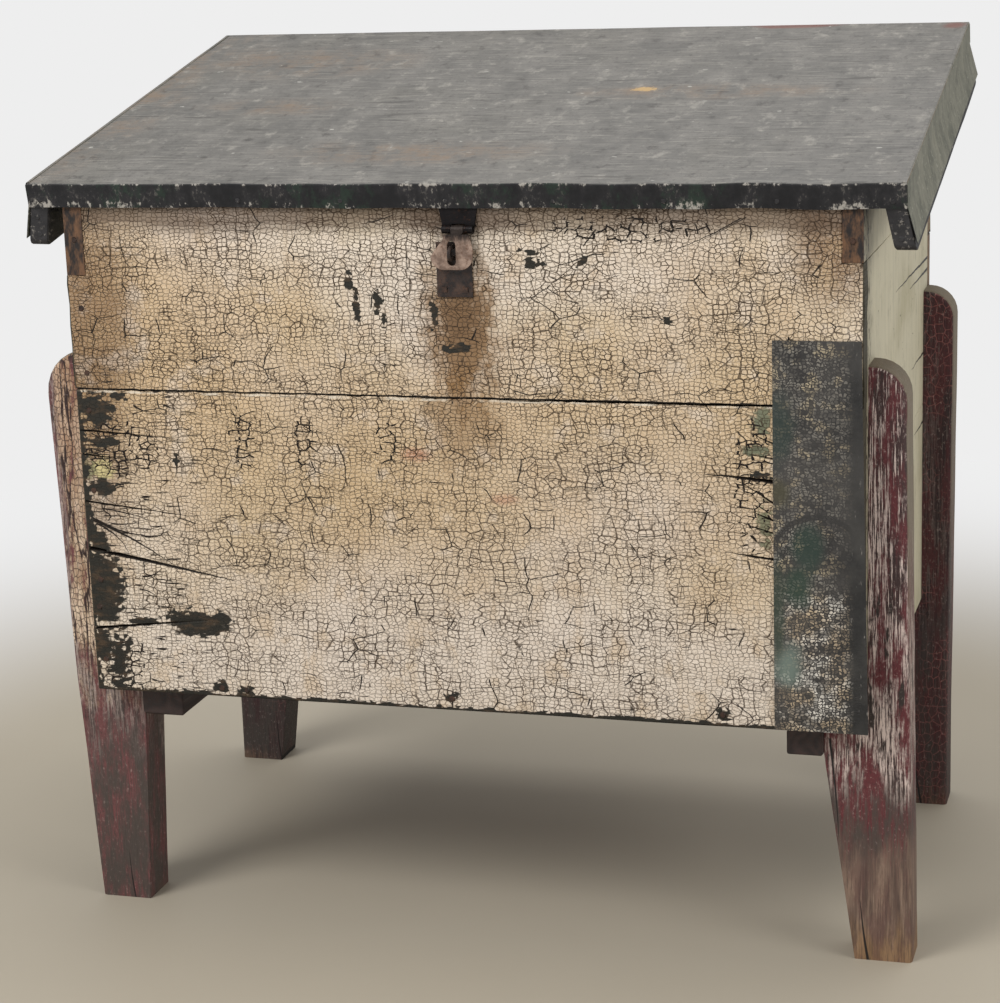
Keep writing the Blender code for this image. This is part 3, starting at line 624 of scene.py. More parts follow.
# splits of the lower board: open end, tip, width and depth
SPLITS = (
    ((-0.385, 0.4987), (-0.272, 0.4918), 0.0024, 0.0035),
    ((-0.385, 0.4750), (-0.318, 0.4680), 0.0020, 0.0030),
    ((-0.385, 0.4275), (-0.262, 0.4150), 0.0024, 0.0035),
    ((-0.385, 0.3805), (-0.225, 0.3525), 0.0052, 0.0060),
    ((-0.385, 0.2970), (-0.232, 0.3140), 0.0032, 0.0050),
    ((0.3000, 0.4692), (0.2366, 0.4745), 0.0040, 0.0050),
    ((0.3000, 0.3967), (0.2540, 0.4019), 0.0024, 0.0035),
    ((0.3000, 0.4495), (0.2690, 0.4687), 0.0018, 0.0030),
    ((0.3000, 0.5040), (0.2780, 0.5140), 0.0018, 0.0030),
    ((0.3000, 0.4332), (0.2770, 0.4417), 0.0018, 0.0030),
    ((0.3000, 0.4210), (0.2650, 0.4315), 0.0016, 0.0030),
    ((0.3000, 0.4904), (0.2715, 0.4947), 0.0018, 0.0030),
)
# each split runs out into a dark line in the paint
SPLIT_ENDS = tuple((start, tip, 0.0, width * 0.6) for start, tip, width, depth in SPLITS)
SEAM_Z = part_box("front_board_lower")[1][2]
FOOT_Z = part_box("front_board_lower")[0][2]


def front_paint():
    material, place = finish("crackled_cream_paint")
    wood = sawn_wood(place, ALONG_X, BARE_LIGHT, BARE_DARK)[0]
    x, y, z = axes(place)
    flat = put("CombineXYZ", {0: x, 1: z, 2: 0.0})
    face = put("Mapping", {"Vector": place, "Scale": (1, 0, 1)})
    broad = cloud(face, (6, 0, 6), 4.0, 0.6)
    medium = cloud(face, (24, 0, 24), 4.0, 0.6)
    fine = cloud(face, (60, 0, 150), 3.0, 0.6)
    grit = cloud(face, (620, 0, 620), 2.0, 0.8)
    net, tone = (crackled(flat, 0.0038, 1.35, 0.10, out) for out in ("Crack", "Tone"))
    soft = (broad - 0.5) * 1.6
    ragged = (tone * 0.5 + fine - 0.75) * 1.15
    # cream coat, pinker where it is clean, browned by handling and rust, and darkened just under the lid by
    # grime and painted shade of the lid's overhang
    paint = over(ramp(broad, 0.35, 0.65), CREAM, CREAM_PINK)
    for centre, size, strength, colour in STAINS:
        paint = over(worn_place(face, centre, size, soft, 0.6) * strength, paint, colour)
    runs = cloud(face, (55, 0, 3), 3.0, 0.6)
    paint = coats(
        paint,
        (ramp(runs, 0.50, 0.75) * 0.30, TAN),
        (ramp(medium, 0.50, 0.66) * 0.45, TAN),
        (ramp(medium, 0.48, 0.34) * 0.45, CREAM_PINK),
        (ramp(grit, 0.48, 0.70) * 0.55, (140, 116, 88)),
        (ramp(grit, 0.50, 0.30) * 0.55, (236, 224, 206)),
        (tone * 0.16, (150, 126, 98)),
    )
    streaky = (cloud(face, (70, 0, 26), 5.0, 0.75) - 0.5) * 2.0 + ragged * 0.5
    for centre, size, strength, colour in RUST_RUNS:
        paint = over(worn_place(face, centre, size, streaky, 0.5) * strength, paint, colour)
    # painted shade of the lid's overhang, with grime: a streaky brown-grey band along the top of the upper
    # board
    streaks = ramp(cloud(face, (7, 0, 170), 3.0), 0.2, 0.7)
    lid_shade_and_grime = ramp(z + soft * 0.010, 0.682, 0.714) * (streaks + 0.5)
    paint = over(figure("MINIMUM", lid_shade_and_grime, 0.78), paint, LID_SHADE_AND_GRIME)
    chippy = ragged * 1.6
    for centre, size, colour in TINTED:
        paint = over(worn_place(face, centre, size, chippy, 0.35) * 0.8, paint, colour)
    # crackle: a fine net everywhere, wider meshes in places, long cracks, and zones torn open
    close = figure("MAXIMUM", cloud(face, (70, 0, 70), 3.0) * 2.2 - 0.45, 0.25)
    close = figure("MINIMUM", close, 0.95) * (ramp(z, 0.40, 0.58) * 0.22 + 0.80)
    middle = crackled(flat, 0.0088, 1.35, 0.066) * ramp(cloud(face, (16, 0, 22), 3.0), 0.40, 0.56)
    level = crackled(flat, 0.0062, 3.4, 0.055) * ramp(cloud(face, (13, 0, 26), 3.0), 0.53, 0.60)
    wide = crackled(flat, 0.022, 1.6, 0.022) * ramp(cloud(face, (24, 0, 34), 3.0), 0.53, 0.58)
    stray = (cloud(face, (90, 0, 90), 3.0) - 0.5) * 0.0030
    lines = [scratch(face, *line, stray) for line in FINE_LINES + SPLIT_ENDS]
    torn = joined([worn_place(face, centre, size, soft, 0.5) for centre, size in OPENED])
    gaps = ramp(crackled(flat, 0.0084, 1.4, 0.105) * torn * ramp(fine, 0.40, 0.56), 0.30, 0.50)
    ends = figure("MAXIMUM", ramp(x, -0.20, -0.30), ramp(x, 0.22, 0.31) * 0.45)
    dashes = ramp(cloud(face, (40, 0, 330), 2.0), 0.60, 0.65) * ends * ramp(z, 0.60, 0.54)
    seam_z = z - SEAM_Z + (fine - 0.5) * 0.0035
    seam = ramp(abs(seam_z), 0.0013, 0.0007)
    # a pale ragged strip along the lower board's top edge, just under the seam: painted highlight where the
    # edge turns up to the light
    edge_band = ramp(abs(seam_z + 0.0026), 0.0016, 0.0008) * ramp(medium, 0.44, 0.58)
    # bare dark patches with rims that follow the flakes, the ragged foot and the rubbed left edge
    torn_bits = ragged * 2.2
    lost = [
        worn_place(face, centre, size, ragged if size[0] > SMALL_LOSS else torn_bits, 0.10)
        for centre, size in LOST_PAINT
    ]
    low_edge = ramp(z + ragged * 0.005, FOOT_Z + 0.0042, FOOT_Z + 0.0034)
    left_edge = ramp(x + ragged * 0.010, -0.3745, -0.3755) * ramp(z, 0.545, 0.535)
    # dirt lies in splits and seams; the ends are grey weathered wood, the inside is bare
    colour = coats(
        paint,
        (net * close, CRACK_BROWN),
        (middle * 0.85, CRACK_DARK),
        (level * 0.8, CRACK_DARK),
        # painted highlight along the lower board's top edge
        (edge_band * 0.8, (222, 210, 190)),
        (joined([wide, *lines, gaps, dashes, seam]), CRACK_BLACK),
        (joined([*lost, low_edge, left_edge]), over(ramp(fine, 0.45, 0.75), UNDER_GREEN, (82, 66, 50))),
        (ramp(y, FRONT_Y + 0.0007, FRONT_Y + 0.0019), CRACK_BLACK),
        (ramp(y, FRONT_Y + 0.008, FRONT_Y + 0.012), wood),
        (ramp(abs(x), SIDE_X - 0.0012, SIDE_X - 0.0004), over(fine, (44, 41, 33), GREY_WOOD)),
    )
    height = fine * 0.3 - figure("MAXIMUM", wide, net)
    return surface(material, colour, ramp(fine, -1.4, 1.3), height, 0.0008, shine=0.3)


def clamp(value):
    return min(1.0, max(0.0, value))


FACES_FRONT = -0.8
SPLIT_REACH = 0.02
CUT_SNAP = 0.00001
ON_SPLIT = 0.0001
FRONT_SKIN = 0.006


def open_split(bm, start, tip, width, depth):
    """Opens a split in the front of a board: three cuts along it, the middle one pushed in to a tip."""
    start, tip = (Vector((x, 0, z)) for x, z in (start, tip))
    run = tip - start
    side = Vector((-run.z, 0, run.x)).normalized()

    def share(v):
        return (v.co - start).dot(run) / run.length_squared

    for shift in (-0.5, 0.5, 0.0):
        cut = start + side * width * shift
        near = [f for f in bm.faces if f.normal.y < FACES_FRONT]
        near = [f for f in near if abs((f.calc_center_median() - cut).dot(side)) < SPLIT_REACH]
        near = [f for f in near if min(map(share, f.verts)) < 1 and max(map(share, f.verts)) > 0]
        around = dict.fromkeys([*(e for f in near for e in f.edges), *(v for f in near for v in f.verts)])
        bmesh.ops.bisect_plane(bm, geom=[*near, *around], plane_co=cut, plane_no=side, dist=CUT_SNAP)
    for v in bm.verts:
        if abs((v.co - start).dot(side)) < ON_SPLIT and v.co.y < FRONT_Y + FRONT_SKIN:
            v.co.y += depth * max(0.0, 1.0 - share(v))


SEAM_SHRINK = 0.0016
SHRINK_FROM = -0.02
SHRINK_RUN = 0.15
SEAM_RAGGED = 0.0019
SEAM_WAVES = 95
SEAM_HEIGHT = 0.006
SEAM_DEPTH = 0.012
NOTCH_GAP = 0.0006
front_finish = front_paint()
bm = board("front_board_lower")
score(bm, x=0.005, z=0.02)
weather(bm, ease=0.0012, chip=0.0030, wave=0.0004)
for v in bm.verts:
    # the board has shrunk away from the upper one towards its right end, and its edge is ragged
    if v.co.z > SEAM_Z - SEAM_HEIGHT and v.co.y < FRONT_Y + SEAM_DEPTH:
        ragged_edge = SEAM_RAGGED * noise.noise(Vector((v.co.x * SEAM_WAVES, 3.0, 0.0)))
        v.co.z -= SEAM_SHRINK * clamp((v.co.x - SHRINK_FROM) / SHRINK_RUN) + abs(ragged_edge)
bm.normal_update()
for opening in SPLITS:
    open_split(bm, *opening)
piece("cream_front_lower", bm, front_finish, "bin", "cream_paint", "front_board_lower")

low, high = (Vector(corner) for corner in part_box("front_board_upper"))
left_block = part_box("side_left_top")
right_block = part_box("side_right_top")
left_x = left_block[1][0] + NOTCH_GAP
right_x = right_block[0][0] - NOTCH_GAP
left_z = left_block[0][2] - NOTCH_GAP
right_z = right_block[0][2] - NOTCH_GAP
outline = (
    (low.x, low.z), (high.x, low.z), (high.x, right_z), (right_x, right_z),
    (right_x, high.z), (left_x, high.z), (left_x, left_z), (low.x, left_z),
)
bm = bmesh.new()
front_face = bm.faces.new([bm.verts.new((x, low.y, z)) for x, z in outline])
swept = bmesh.ops.extrude_face_region(bm, geom=[front_face])["geom"]
back_corners = [v for v in swept if isinstance(v, bmesh.types.BMVert)]
bmesh.ops.translate(bm, verts=back_corners, vec=(0, high.y - low.y, 0))
slant(bm, "front_board_upper")
score(bm, x=0.008, z=0.02)
weather(bm, ease=0.0012, chip=0.0022, wave=0.0004)
piece("cream_front_upper", bm, front_finish, "bin", "cream_paint", "front_board_upper")


# Legs
# Four planks of 45 mm stuff, notched so that the box stands on a shoulder and rounded at the top, nailed
# through the sides. Red paint over older coats is crackled above and worn to the wood below.

SAME_POINT = 0.00001
FLAT_TURN = math.radians(1.0)


def merged(node):
    """A copy of a CAD piece with its triangles joined into whole faces."""
    bm = bmesh.new()
    bm.from_mesh(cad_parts[node].data)
    bmesh.ops.remove_doubles(bm, verts=bm.verts, dist=SAME_POINT)
    bmesh.ops.dissolve_limit(bm, angle_limit=FLAT_TURN, verts=bm.verts, edges=bm.edges)
    return bm


LEG_CREAM = (176, 145, 112)
LEG_CHALK = (218, 198, 188)
LEG_VEIN = (138, 78, 74)
LEG_DIRT = (74, 66, 60)
# drying checks in the feet: open end, tip, bow and width
LEG_CHECKS = (
    ((0.3825, -0.002), (0.3745, 0.0600), 0.001, 0.0016),
    ((0.3462, 0.2180), (0.3545, 0.1200), 0.001, 0.0014),
    ((-0.3700, -0.002), (-0.3740, 0.0500), 0.001, 0.0011),
)


def leg_paint(name, red, dark, cream, chalk, veins, dirt, foot_wood):
    """Finish of a leg: its two red coats, the shares of cream, chalk, veins and dirt, and its bare foot."""
    material, place = finish(name)
    wood = sawn_wood(place, ALONG_Z, (150, 126, 108), (92, 72, 63))[0]
    x, y, z = axes(place)
    around = put("CombineXYZ", {0: x + y, 1: z, 2: 0.0})
    broad = cloud(place, (16, 16, 9), 3.0, 0.6)
    streak = cloud(place, (520, 520, 24), 4.0, 0.75)
    slow = cloud(place, (64, 64, 15), 5.0, 0.7)
    grit = cloud(place, (330, 330, 200), 3.0, 0.75)
    uneven = (broad - 0.5) * 0.30
    height = z + uneven
    paint = over(ramp(slow, 0.40, 0.60), red, dark)
    paint = over(ramp(streak, 0.52, 0.68) * 0.5, paint, (46, 34, 31))
    if veins:
        net = crackled(around, 0.0105, 0.7, 0.065) * ramp(broad, 0.38, 0.60)
        paint = over(net * veins, paint, LEG_VEIN)
    if chalk:
        # hands have rubbed it off the outer side and the head, all but the thickest streaks
        rubbed = ramp(x + (slow - 0.5) * 0.03, 0.396, 0.402) * ramp(z, 0.31, 0.37)
        rubbed = figure("MAXIMUM", rubbed, ramp(height, 0.50, 0.56))
        left_on = ramp(streak - rubbed * 0.07, 0.47, 0.54) * ramp(slow, 0.38, 0.54)
        above = ramp(height, 0.13, 0.22) * chalk
        black = ramp(cloud(place, (80, 80, 20), 4.0, 0.6), 0.60, 0.66)
        paint = coats(paint, (left_on * above, LEG_CHALK), (black * above, (52, 42, 38)))
    if cream:
        # a close net and long upright cracks
        net = crackled(around, 0.0066, 0.62, 0.11) * 0.72
        upright = ramp(abs(cloud(place, (75, 75, 8), 3.0, 0.6) - 0.5), 0.042, 0.018)
        coat = coats(
            over(ramp(slow, 0.40, 0.60), LEG_CREAM, (230, 206, 178)),
            (ramp(streak, 0.45, 0.62) * 0.55, (136, 92, 76)),
            (ramp(height, 0.40, 0.52) * 0.45, (158, 112, 80)),
            (figure("MAXIMUM", net, upright), (48, 28, 22)),
        )
        # the red coat is bare along the outer edge
        outer = ramp(x + (slow - 0.5) * 0.05, -0.420, -0.412)
        left_on = ramp(slow + streak * 0.45, 0.58, 0.68) * outer
        paint = over(ramp(height, 0.20, 0.27) * left_on * cream, paint, coat)
    soiled = ramp(height, 0.24, 0.12) * ramp(slow + streak, 0.78, 1.08)
    # faces turned outward have weathered to grey
    facing = put("TexCoord", {}, out="Normal", tree=place.tree)
    turned = 1.0 - abs(axes(facing, "Y")[0])
    grey = ramp(turned * (streak + 0.5), 0.35, 0.9) * ramp(height, 0.15, 0.5)
    wood = coats(
        wood,
        (ramp(z + slow * 0.08, 0.085, 0.045) * 0.6, (156, 120, 78)),
        (ramp(slow, 0.48, 0.60) * 0.45, (96, 62, 58)),
        (ramp(streak, 0.48, 0.62) * 0.6, (66, 52, 47)),
        (ramp(streak, 0.42, 0.32) * 0.45, (176, 156, 140)),
    )
    face = put("CombineXYZ", {0: x, 1: 0.0, 2: z})
    wander = uneven * 0.006
    checks = joined([scratch(face, *check, wander) for check in LEG_CHECKS])
    colour = coats(
        paint,
        (ramp(grit, 0.52, 0.68) * 0.55, (40, 30, 28)),
        (ramp(grit, 0.44, 0.30) * (dirt * 0.45), LEG_CHALK),
        (soiled * dirt, LEG_DIRT),
        (grey * 0.85, (116, 106, 86)),
        (ramp(z - (broad + streak) * 0.12, foot_wood, foot_wood - 0.07), wood),
        (checks, (26, 20, 18)),
    )
    return surface(material, colour, ramp(streak, -1.3, 1.5), streak - checks, 0.0010)


LEG_COATS = {
    "front_left": ((112, 64, 64), (72, 58, 54), 1.0, 0.5, 0.0, 0.7, -0.10),
    "front_right": ((98, 40, 44), (62, 42, 40), 0.0, 1.0, 0.0, 0.8, 0.03),
    "rear_left": ((52, 28, 29), (34, 25, 25), 0.0, 0.3, 0.3, 0.5, -0.10),
    "rear_right": ((64, 16, 20), (33, 12, 14), 0.0, 0.08, 0.62, 0.4, -0.10),
}
for corner, shares in LEG_COATS.items():
    bm = merged(f"leg_{corner}")
    score(bm, z=0.012, x=0.012)
    weather(bm, ease=0.0015, chip=0.0018, wave=0.0006, chips=30.0)
    leg_finish = leg_paint(f"{corner}_leg_paint", *shares)
    piece(f"worn_leg_{corner}", bm, leg_finish, "bin", "maroon_paint", f"leg_{corner}")


# Corner plate
# A sheet of tin tacked over the right end of the front boards to cover the split corner, painted dark
# grey over crackled cream, with its edges folded hard over the wood.

# where the dark paint is rubbed through to the cream: place, half sizes, edge and share
RUBBED_TO_CREAM = (
    ((0.336, 0.280), (0.040, 0.060), 0.6, 1.0),
    ((0.330, 0.345), (0.030, 0.045), 0.6, 1.0),
    ((0.328, 0.480), (0.046, 0.085), 0.7, 0.50),
    ((0.330, 0.565), (0.046, 0.050), 0.7, 0.62),
    ((0.312, 0.415), (0.014, 0.030), 0.5, 0.8),
)
GREEN_PLACES = (
    ((0.305, 0.515), (0.013, 0.034), (34, 50, 44)),
    ((0.331, 0.408), (0.012, 0.022), (32, 54, 44)),
    ((0.322, 0.372), (0.012, 0.018), (34, 58, 44)),
    ((0.312, 0.298), (0.014, 0.022), (112, 128, 118)),
    ((0.304, 0.340), (0.007, 0.045), (44, 58, 44)),
    ((0.306, 0.460), (0.010, 0.014), (66, 62, 40)),
)
ARC_CENTRE = (0.341, 0, 0.394)
ARC_RADIUS = 0.044
PLATE_DENT = 0.0013
DENT_WAVES = 28.0


def plate_paint():
    material, place = finish("dark_plate_paint")
    x, z = axes(place, "XZ")
    flat = put("CombineXYZ", {0: x, 1: z, 2: 0.0})
    face = put("Mapping", {"Vector": place, "Scale": (1, 0, 1)})
    broad = cloud(face, (18, 0, 18), 4.0, 0.6)
    fine = cloud(face, (230, 0, 230), 2.0, 0.6)
    soft = (broad - 0.5) * 1.8
    # the older coat's pale cells show through where the dark paint is rubbed, thick at the foot
    jittered = swayed(flat, 240.0, 2.0, 0.0045)[0]
    crack, tone = (crackled(jittered, 0.0029, 1.15, 0.20, out) for out in ("Crack", "Tone"))
    beads = (1.0 - crack) * ramp(tone, -0.10, 0.80) * ramp(cloud(face, (45, 0, 110), 3.0), 0.22, 0.62)
    speck = beads * joined([
        worn_place(face, centre, size, soft, edge) * share for centre, size, edge, share in RUBBED_TO_CREAM
    ])
    pale = over(ramp(cloud(face, (40, 0, 40), 2.0), 0.4, 0.6), (220, 214, 203), (186, 166, 138))
    dull = over(ramp(cloud(face, (55, 0, 55), 3.0), 0.50, 0.62), (150, 144, 133), (212, 194, 160))
    paint = over(ramp(broad, 0.3, 0.7), (33, 31, 30), (60, 57, 54))
    paint = over(speck, paint, over(ramp(z + broad * 0.10, 0.43, 0.40), dull, pale))
    for centre, size, colour in GREEN_PLACES:
        paint = over(worn_place(face, centre, size, soft, 0.5) * 0.75, paint, colour)
    # a worn arc where something swung against the plate, and the folded edge of plain dark paint, with pale
    # marks along it that are partly scuffs and partly painted highlights of the bend
    ring = put("VectorMath", {0: face, 1: ARC_CENTRE}, out="Value", operation="DISTANCE")
    arc = ramp(abs(ring - ARC_RADIUS), 0.0034, 0.0018) * ramp(z, 0.404, 0.420)
    edge_paint = over(ramp(broad, 0.35, 0.65), (26, 25, 24), (56, 54, 51))
    # pale scuffs and painted highlights along the bend of the fold
    scuffs_and_highlights = ramp(cloud(face, (260, 0, 60), 3.0, 0.7), 0.62, 0.72)
    edge_paint = over(scuffs_and_highlights * 0.7, edge_paint, (150, 146, 138))
    paint = coats(paint, (arc * 0.85, (42, 40, 38)), (ramp(x, 0.364, 0.374), edge_paint))
    return surface(material, paint, ramp(fine, -0.8, 1.5), speck * 0.5 + broad * 0.8, 0.0009)


plate_finish = plate_paint()
bm = merged("corner_plate")
score(bm, x=0.008, z=0.01)
for v in bm.verts:
    # the sheet has dents between its tacks
    v.co.y -= PLATE_DENT * (0.5 + 0.5 * noise.noise(v.co * DENT_WAVES))
piece("tin_corner_plate", bm, plate_finish, "bin", "plate_paint", "corner_plate")


# Iron fittings and nails of the box
# Staple plate and staple driven into the upper front board, hinge leaves and pins screwed to the back,
# and the cut nails that hold the boards. All are rusted wrought iron with traces of dark paint.

def iron(name, light, dark, paint_left, shine=0.5, painted_above=None):
    """Finish of rusted iron: two tones, a share of old paint, and a height above which it is black."""
    material, place = finish(name)
    patchy = cloud(place, (90, 90, 90), 4.0, 0.65)
    pits = cloud(place, (420, 420, 420), 3.0, 0.6)
    left_on = ramp(cloud(place, (60, 60, 60), 4.0), 0.62, 0.5)
    colour = coats(
        over(ramp(patchy, 0.35, 0.68), dark, light),
        (ramp(pits, 0.5, 0.75) * 0.6, (92, 58, 38)),
        (left_on * paint_left, (26, 24, 25)),
    )
    if painted_above:
        height = axes(place, "Z")[0] + cloud(place, (170, 170, 60), 4.0, 0.65) * 0.020
        colour = over(ramp(height, painted_above, painted_above + 0.010) * 0.92, colour, (24, 21, 21))
    return surface(material, colour, ramp(patchy, -0.3, 1.5), pits, 0.0005, shine, metal=0.3)


WORN_TURN = 38


def softened(node, ease):
    """A copy of a CAD piece with its sharp edges worn round."""
    bm = merged(node)
    round_over(bm, sharp_edges(bm, WORN_TURN), ease)
    return bm


HEAD_SUNK = 0.0003
HEAD_SIDES = 9
HEAD_TAPER = 0.72


def drive(bm, place, outward, radius, height):
    """Drives one nail: a low rough head standing proud of the surface."""
    turn = Vector(outward).to_track_quat("Z", "Y").to_matrix().to_4x4()
    seat = Matrix.Translation(Vector(place) + Vector(outward) * (height / 2 - HEAD_SUNK)) @ turn
    bmesh.ops.create_cone(
        bm, cap_ends=True, segments=HEAD_SIDES, radius1=radius, radius2=radius * HEAD_TAPER, depth=height,
        matrix=seat,
    )


dark_iron = iron("rusted_dark_iron", (72, 55, 46), (38, 31, 28), 0.5)
hinge_iron = iron("rusted_hinge_iron", (92, 72, 58), (50, 40, 34), 0.35)
nail_iron = iron("rusted_nail_iron", (82, 58, 44), (46, 34, 28), 0.2)
for node in ("staple_plate", "staple"):
    piece(f"rusted_{node}", softened(node, 0.0003), dark_iron, "bin", "iron", node)
for side in ("left", "right"):
    for part in ("leaf", "pin", "flap"):
        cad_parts[f"hinge_{side}_{part}"].material_slots[0].material = hinge_iron
for node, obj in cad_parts.items():
    if "plate_tack" in node:
        # painted over with the plate
        obj.material_slots[0].material = plate_finish
    elif "nail" in node or "screw" in node:
        obj.material_slots[0].material = nail_iron

NAIL_HEAD = 0.0032
NAIL_HEIGHT = 0.0013
FRONT_NAILS = (
    (-0.3696, 0.3478), (-0.3730, 0.3200), (-0.3700, 0.2660), (-0.3700, 0.4380), (-0.3690, 0.5180),
    (-0.3679, 0.5549), (-0.3690, 0.6180), (-0.2480, 0.2427), (-0.2218, 0.2420),
    (-0.0114, 0.2454), (0.2514, 0.2455), (-0.3710, 0.6840), (0.3715, 0.6870),
)
BACK_NAIL_X = 0.369
BACK_NAIL_ROWS = (0.27, 0.36, 0.45, 0.52, 0.60, 0.67, 0.73, 0.79)
bm = bmesh.new()
for x, z in FRONT_NAILS:
    drive(bm, (x, FRONT_Y, z), (0, -1, 0), NAIL_HEAD, NAIL_HEIGHT)
for x in (-BACK_NAIL_X, BACK_NAIL_X):
    for z in BACK_NAIL_ROWS:
        drive(bm, (x, BACK_Y, z), (0, 1, 0), NAIL_HEAD, NAIL_HEIGHT)
piece("board_nails", bm, nail_iron, "bin", "fasteners")


# Lid boards and cleats
# Three boards edge to edge, held flat by a splayed cleat nailed under each end. The undersides are bare
# and the cleats have the same dark paint as the cover, chipped along their ends.

def cleat_paint():
    material, place = finish("dull_cleat_paint")
    patchy = cloud(place, (40, 30, 60), 4.0, 0.65)
    fine = cloud(place, (240, 130, 240), 3.0, 0.65)
    chips = ramp(fine, 0.57, 0.66) * ramp(patchy, 0.38, 0.6)
    paint = over(ramp(patchy, 0.35, 0.7), (24, 22, 24), (44, 42, 43))
    paint = over(chips * 0.7, paint, (138, 132, 124))
    return surface(material, paint, ramp(fine, -1.0, 1.5), fine, 0.0006)


lid_back = Vector((0, math.cos(LID_SLOPE), math.sin(LID_SLOPE)))
EASED_EDGE = 0.0035
AT_EDGE = 0.0002


def spans(node):
    """Ends of a lid piece along X, along the slope and square to it."""
    ends = []
    for way in (Vector((1, 0, 0)), lid_back, lid_up):
        steps = [v.co.dot(way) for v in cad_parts[node].data.vertices]
        ends.append((min(steps), max(steps)))
    return ends


lid_meets = spans("lid_board_middle")[1]
board_finish = bare_wood("lid_board_wood", ALONG_X, (154, 126, 92), (104, 80, 57), lid_back, lid_meets)
for part, turn in (("front", -1), ("middle", 0), ("back", 1)):
    bm = merged(f"lid_board_{part}")
    if turn:
        # the top edge under the sheet's fold is hammered round
        top = max(v.co.dot(lid_up) for v in bm.verts)
        end = max(v.co.dot(lid_back) * turn for v in bm.verts)
        rim = [v for v in bm.verts if v.co.dot(lid_up) > top - AT_EDGE]
        rim = [v for v in rim if v.co.dot(lid_back) * turn > end - AT_EDGE]
        hammered = [e for e in bm.edges if e.verts[0] in rim and e.verts[1] in rim]
        round_over(bm, hammered, EASED_EDGE, segments=3)
    piece(f"lid_plank_{part}", bm, board_finish, "lid", "bare_wood", f"lid_board_{part}")
cleat_finish = cleat_paint()
for side in ("left", "right"):
    bm = merged(f"lid_cleat_{side}")
    score(bm, y=0.014)
    weather(bm, ease=0.0012, chip=0.0018, wave=0.0005)
    piece(f"painted_cleat_{side}", bm, cleat_finish, "lid", "black_paint", f"lid_cleat_{side}")


# Lid cover
# A sheet laid over the boards and folded down over all their edges, at the ends over the cleats too,
# tacked along the folds and painted dark grey. It lies in low waves, and the front fold is dented.

# brown and red places and a chip in the top, as centres and half sizes
BROWN_PLACES = (
    ((-0.30, 0.15, 0.82), (0.10, 0.05, 0.1)), ((-0.25, -0.02, 0.79), (0.06, 0.025, 0.1)),
    ((-0.05, -0.17, 0.76), (0.10, 0.03, 0.1)), ((-0.40, 0.02, 0.79), (0.035, 0.30, 0.1)),
    ((0.20, 0.02, 0.79), (0.10, 0.02, 0.1)),
)
RED_PLACES = (((0.24, 0.262, 0.845), (0.04, 0.010, 0.1)), ((0.405, 0.25, 0.84), (0.014, 0.014, 0.1)))
CHIPS = (((0.125, 0.029, 0.798), (0.011, 0.007, 0.1)),)


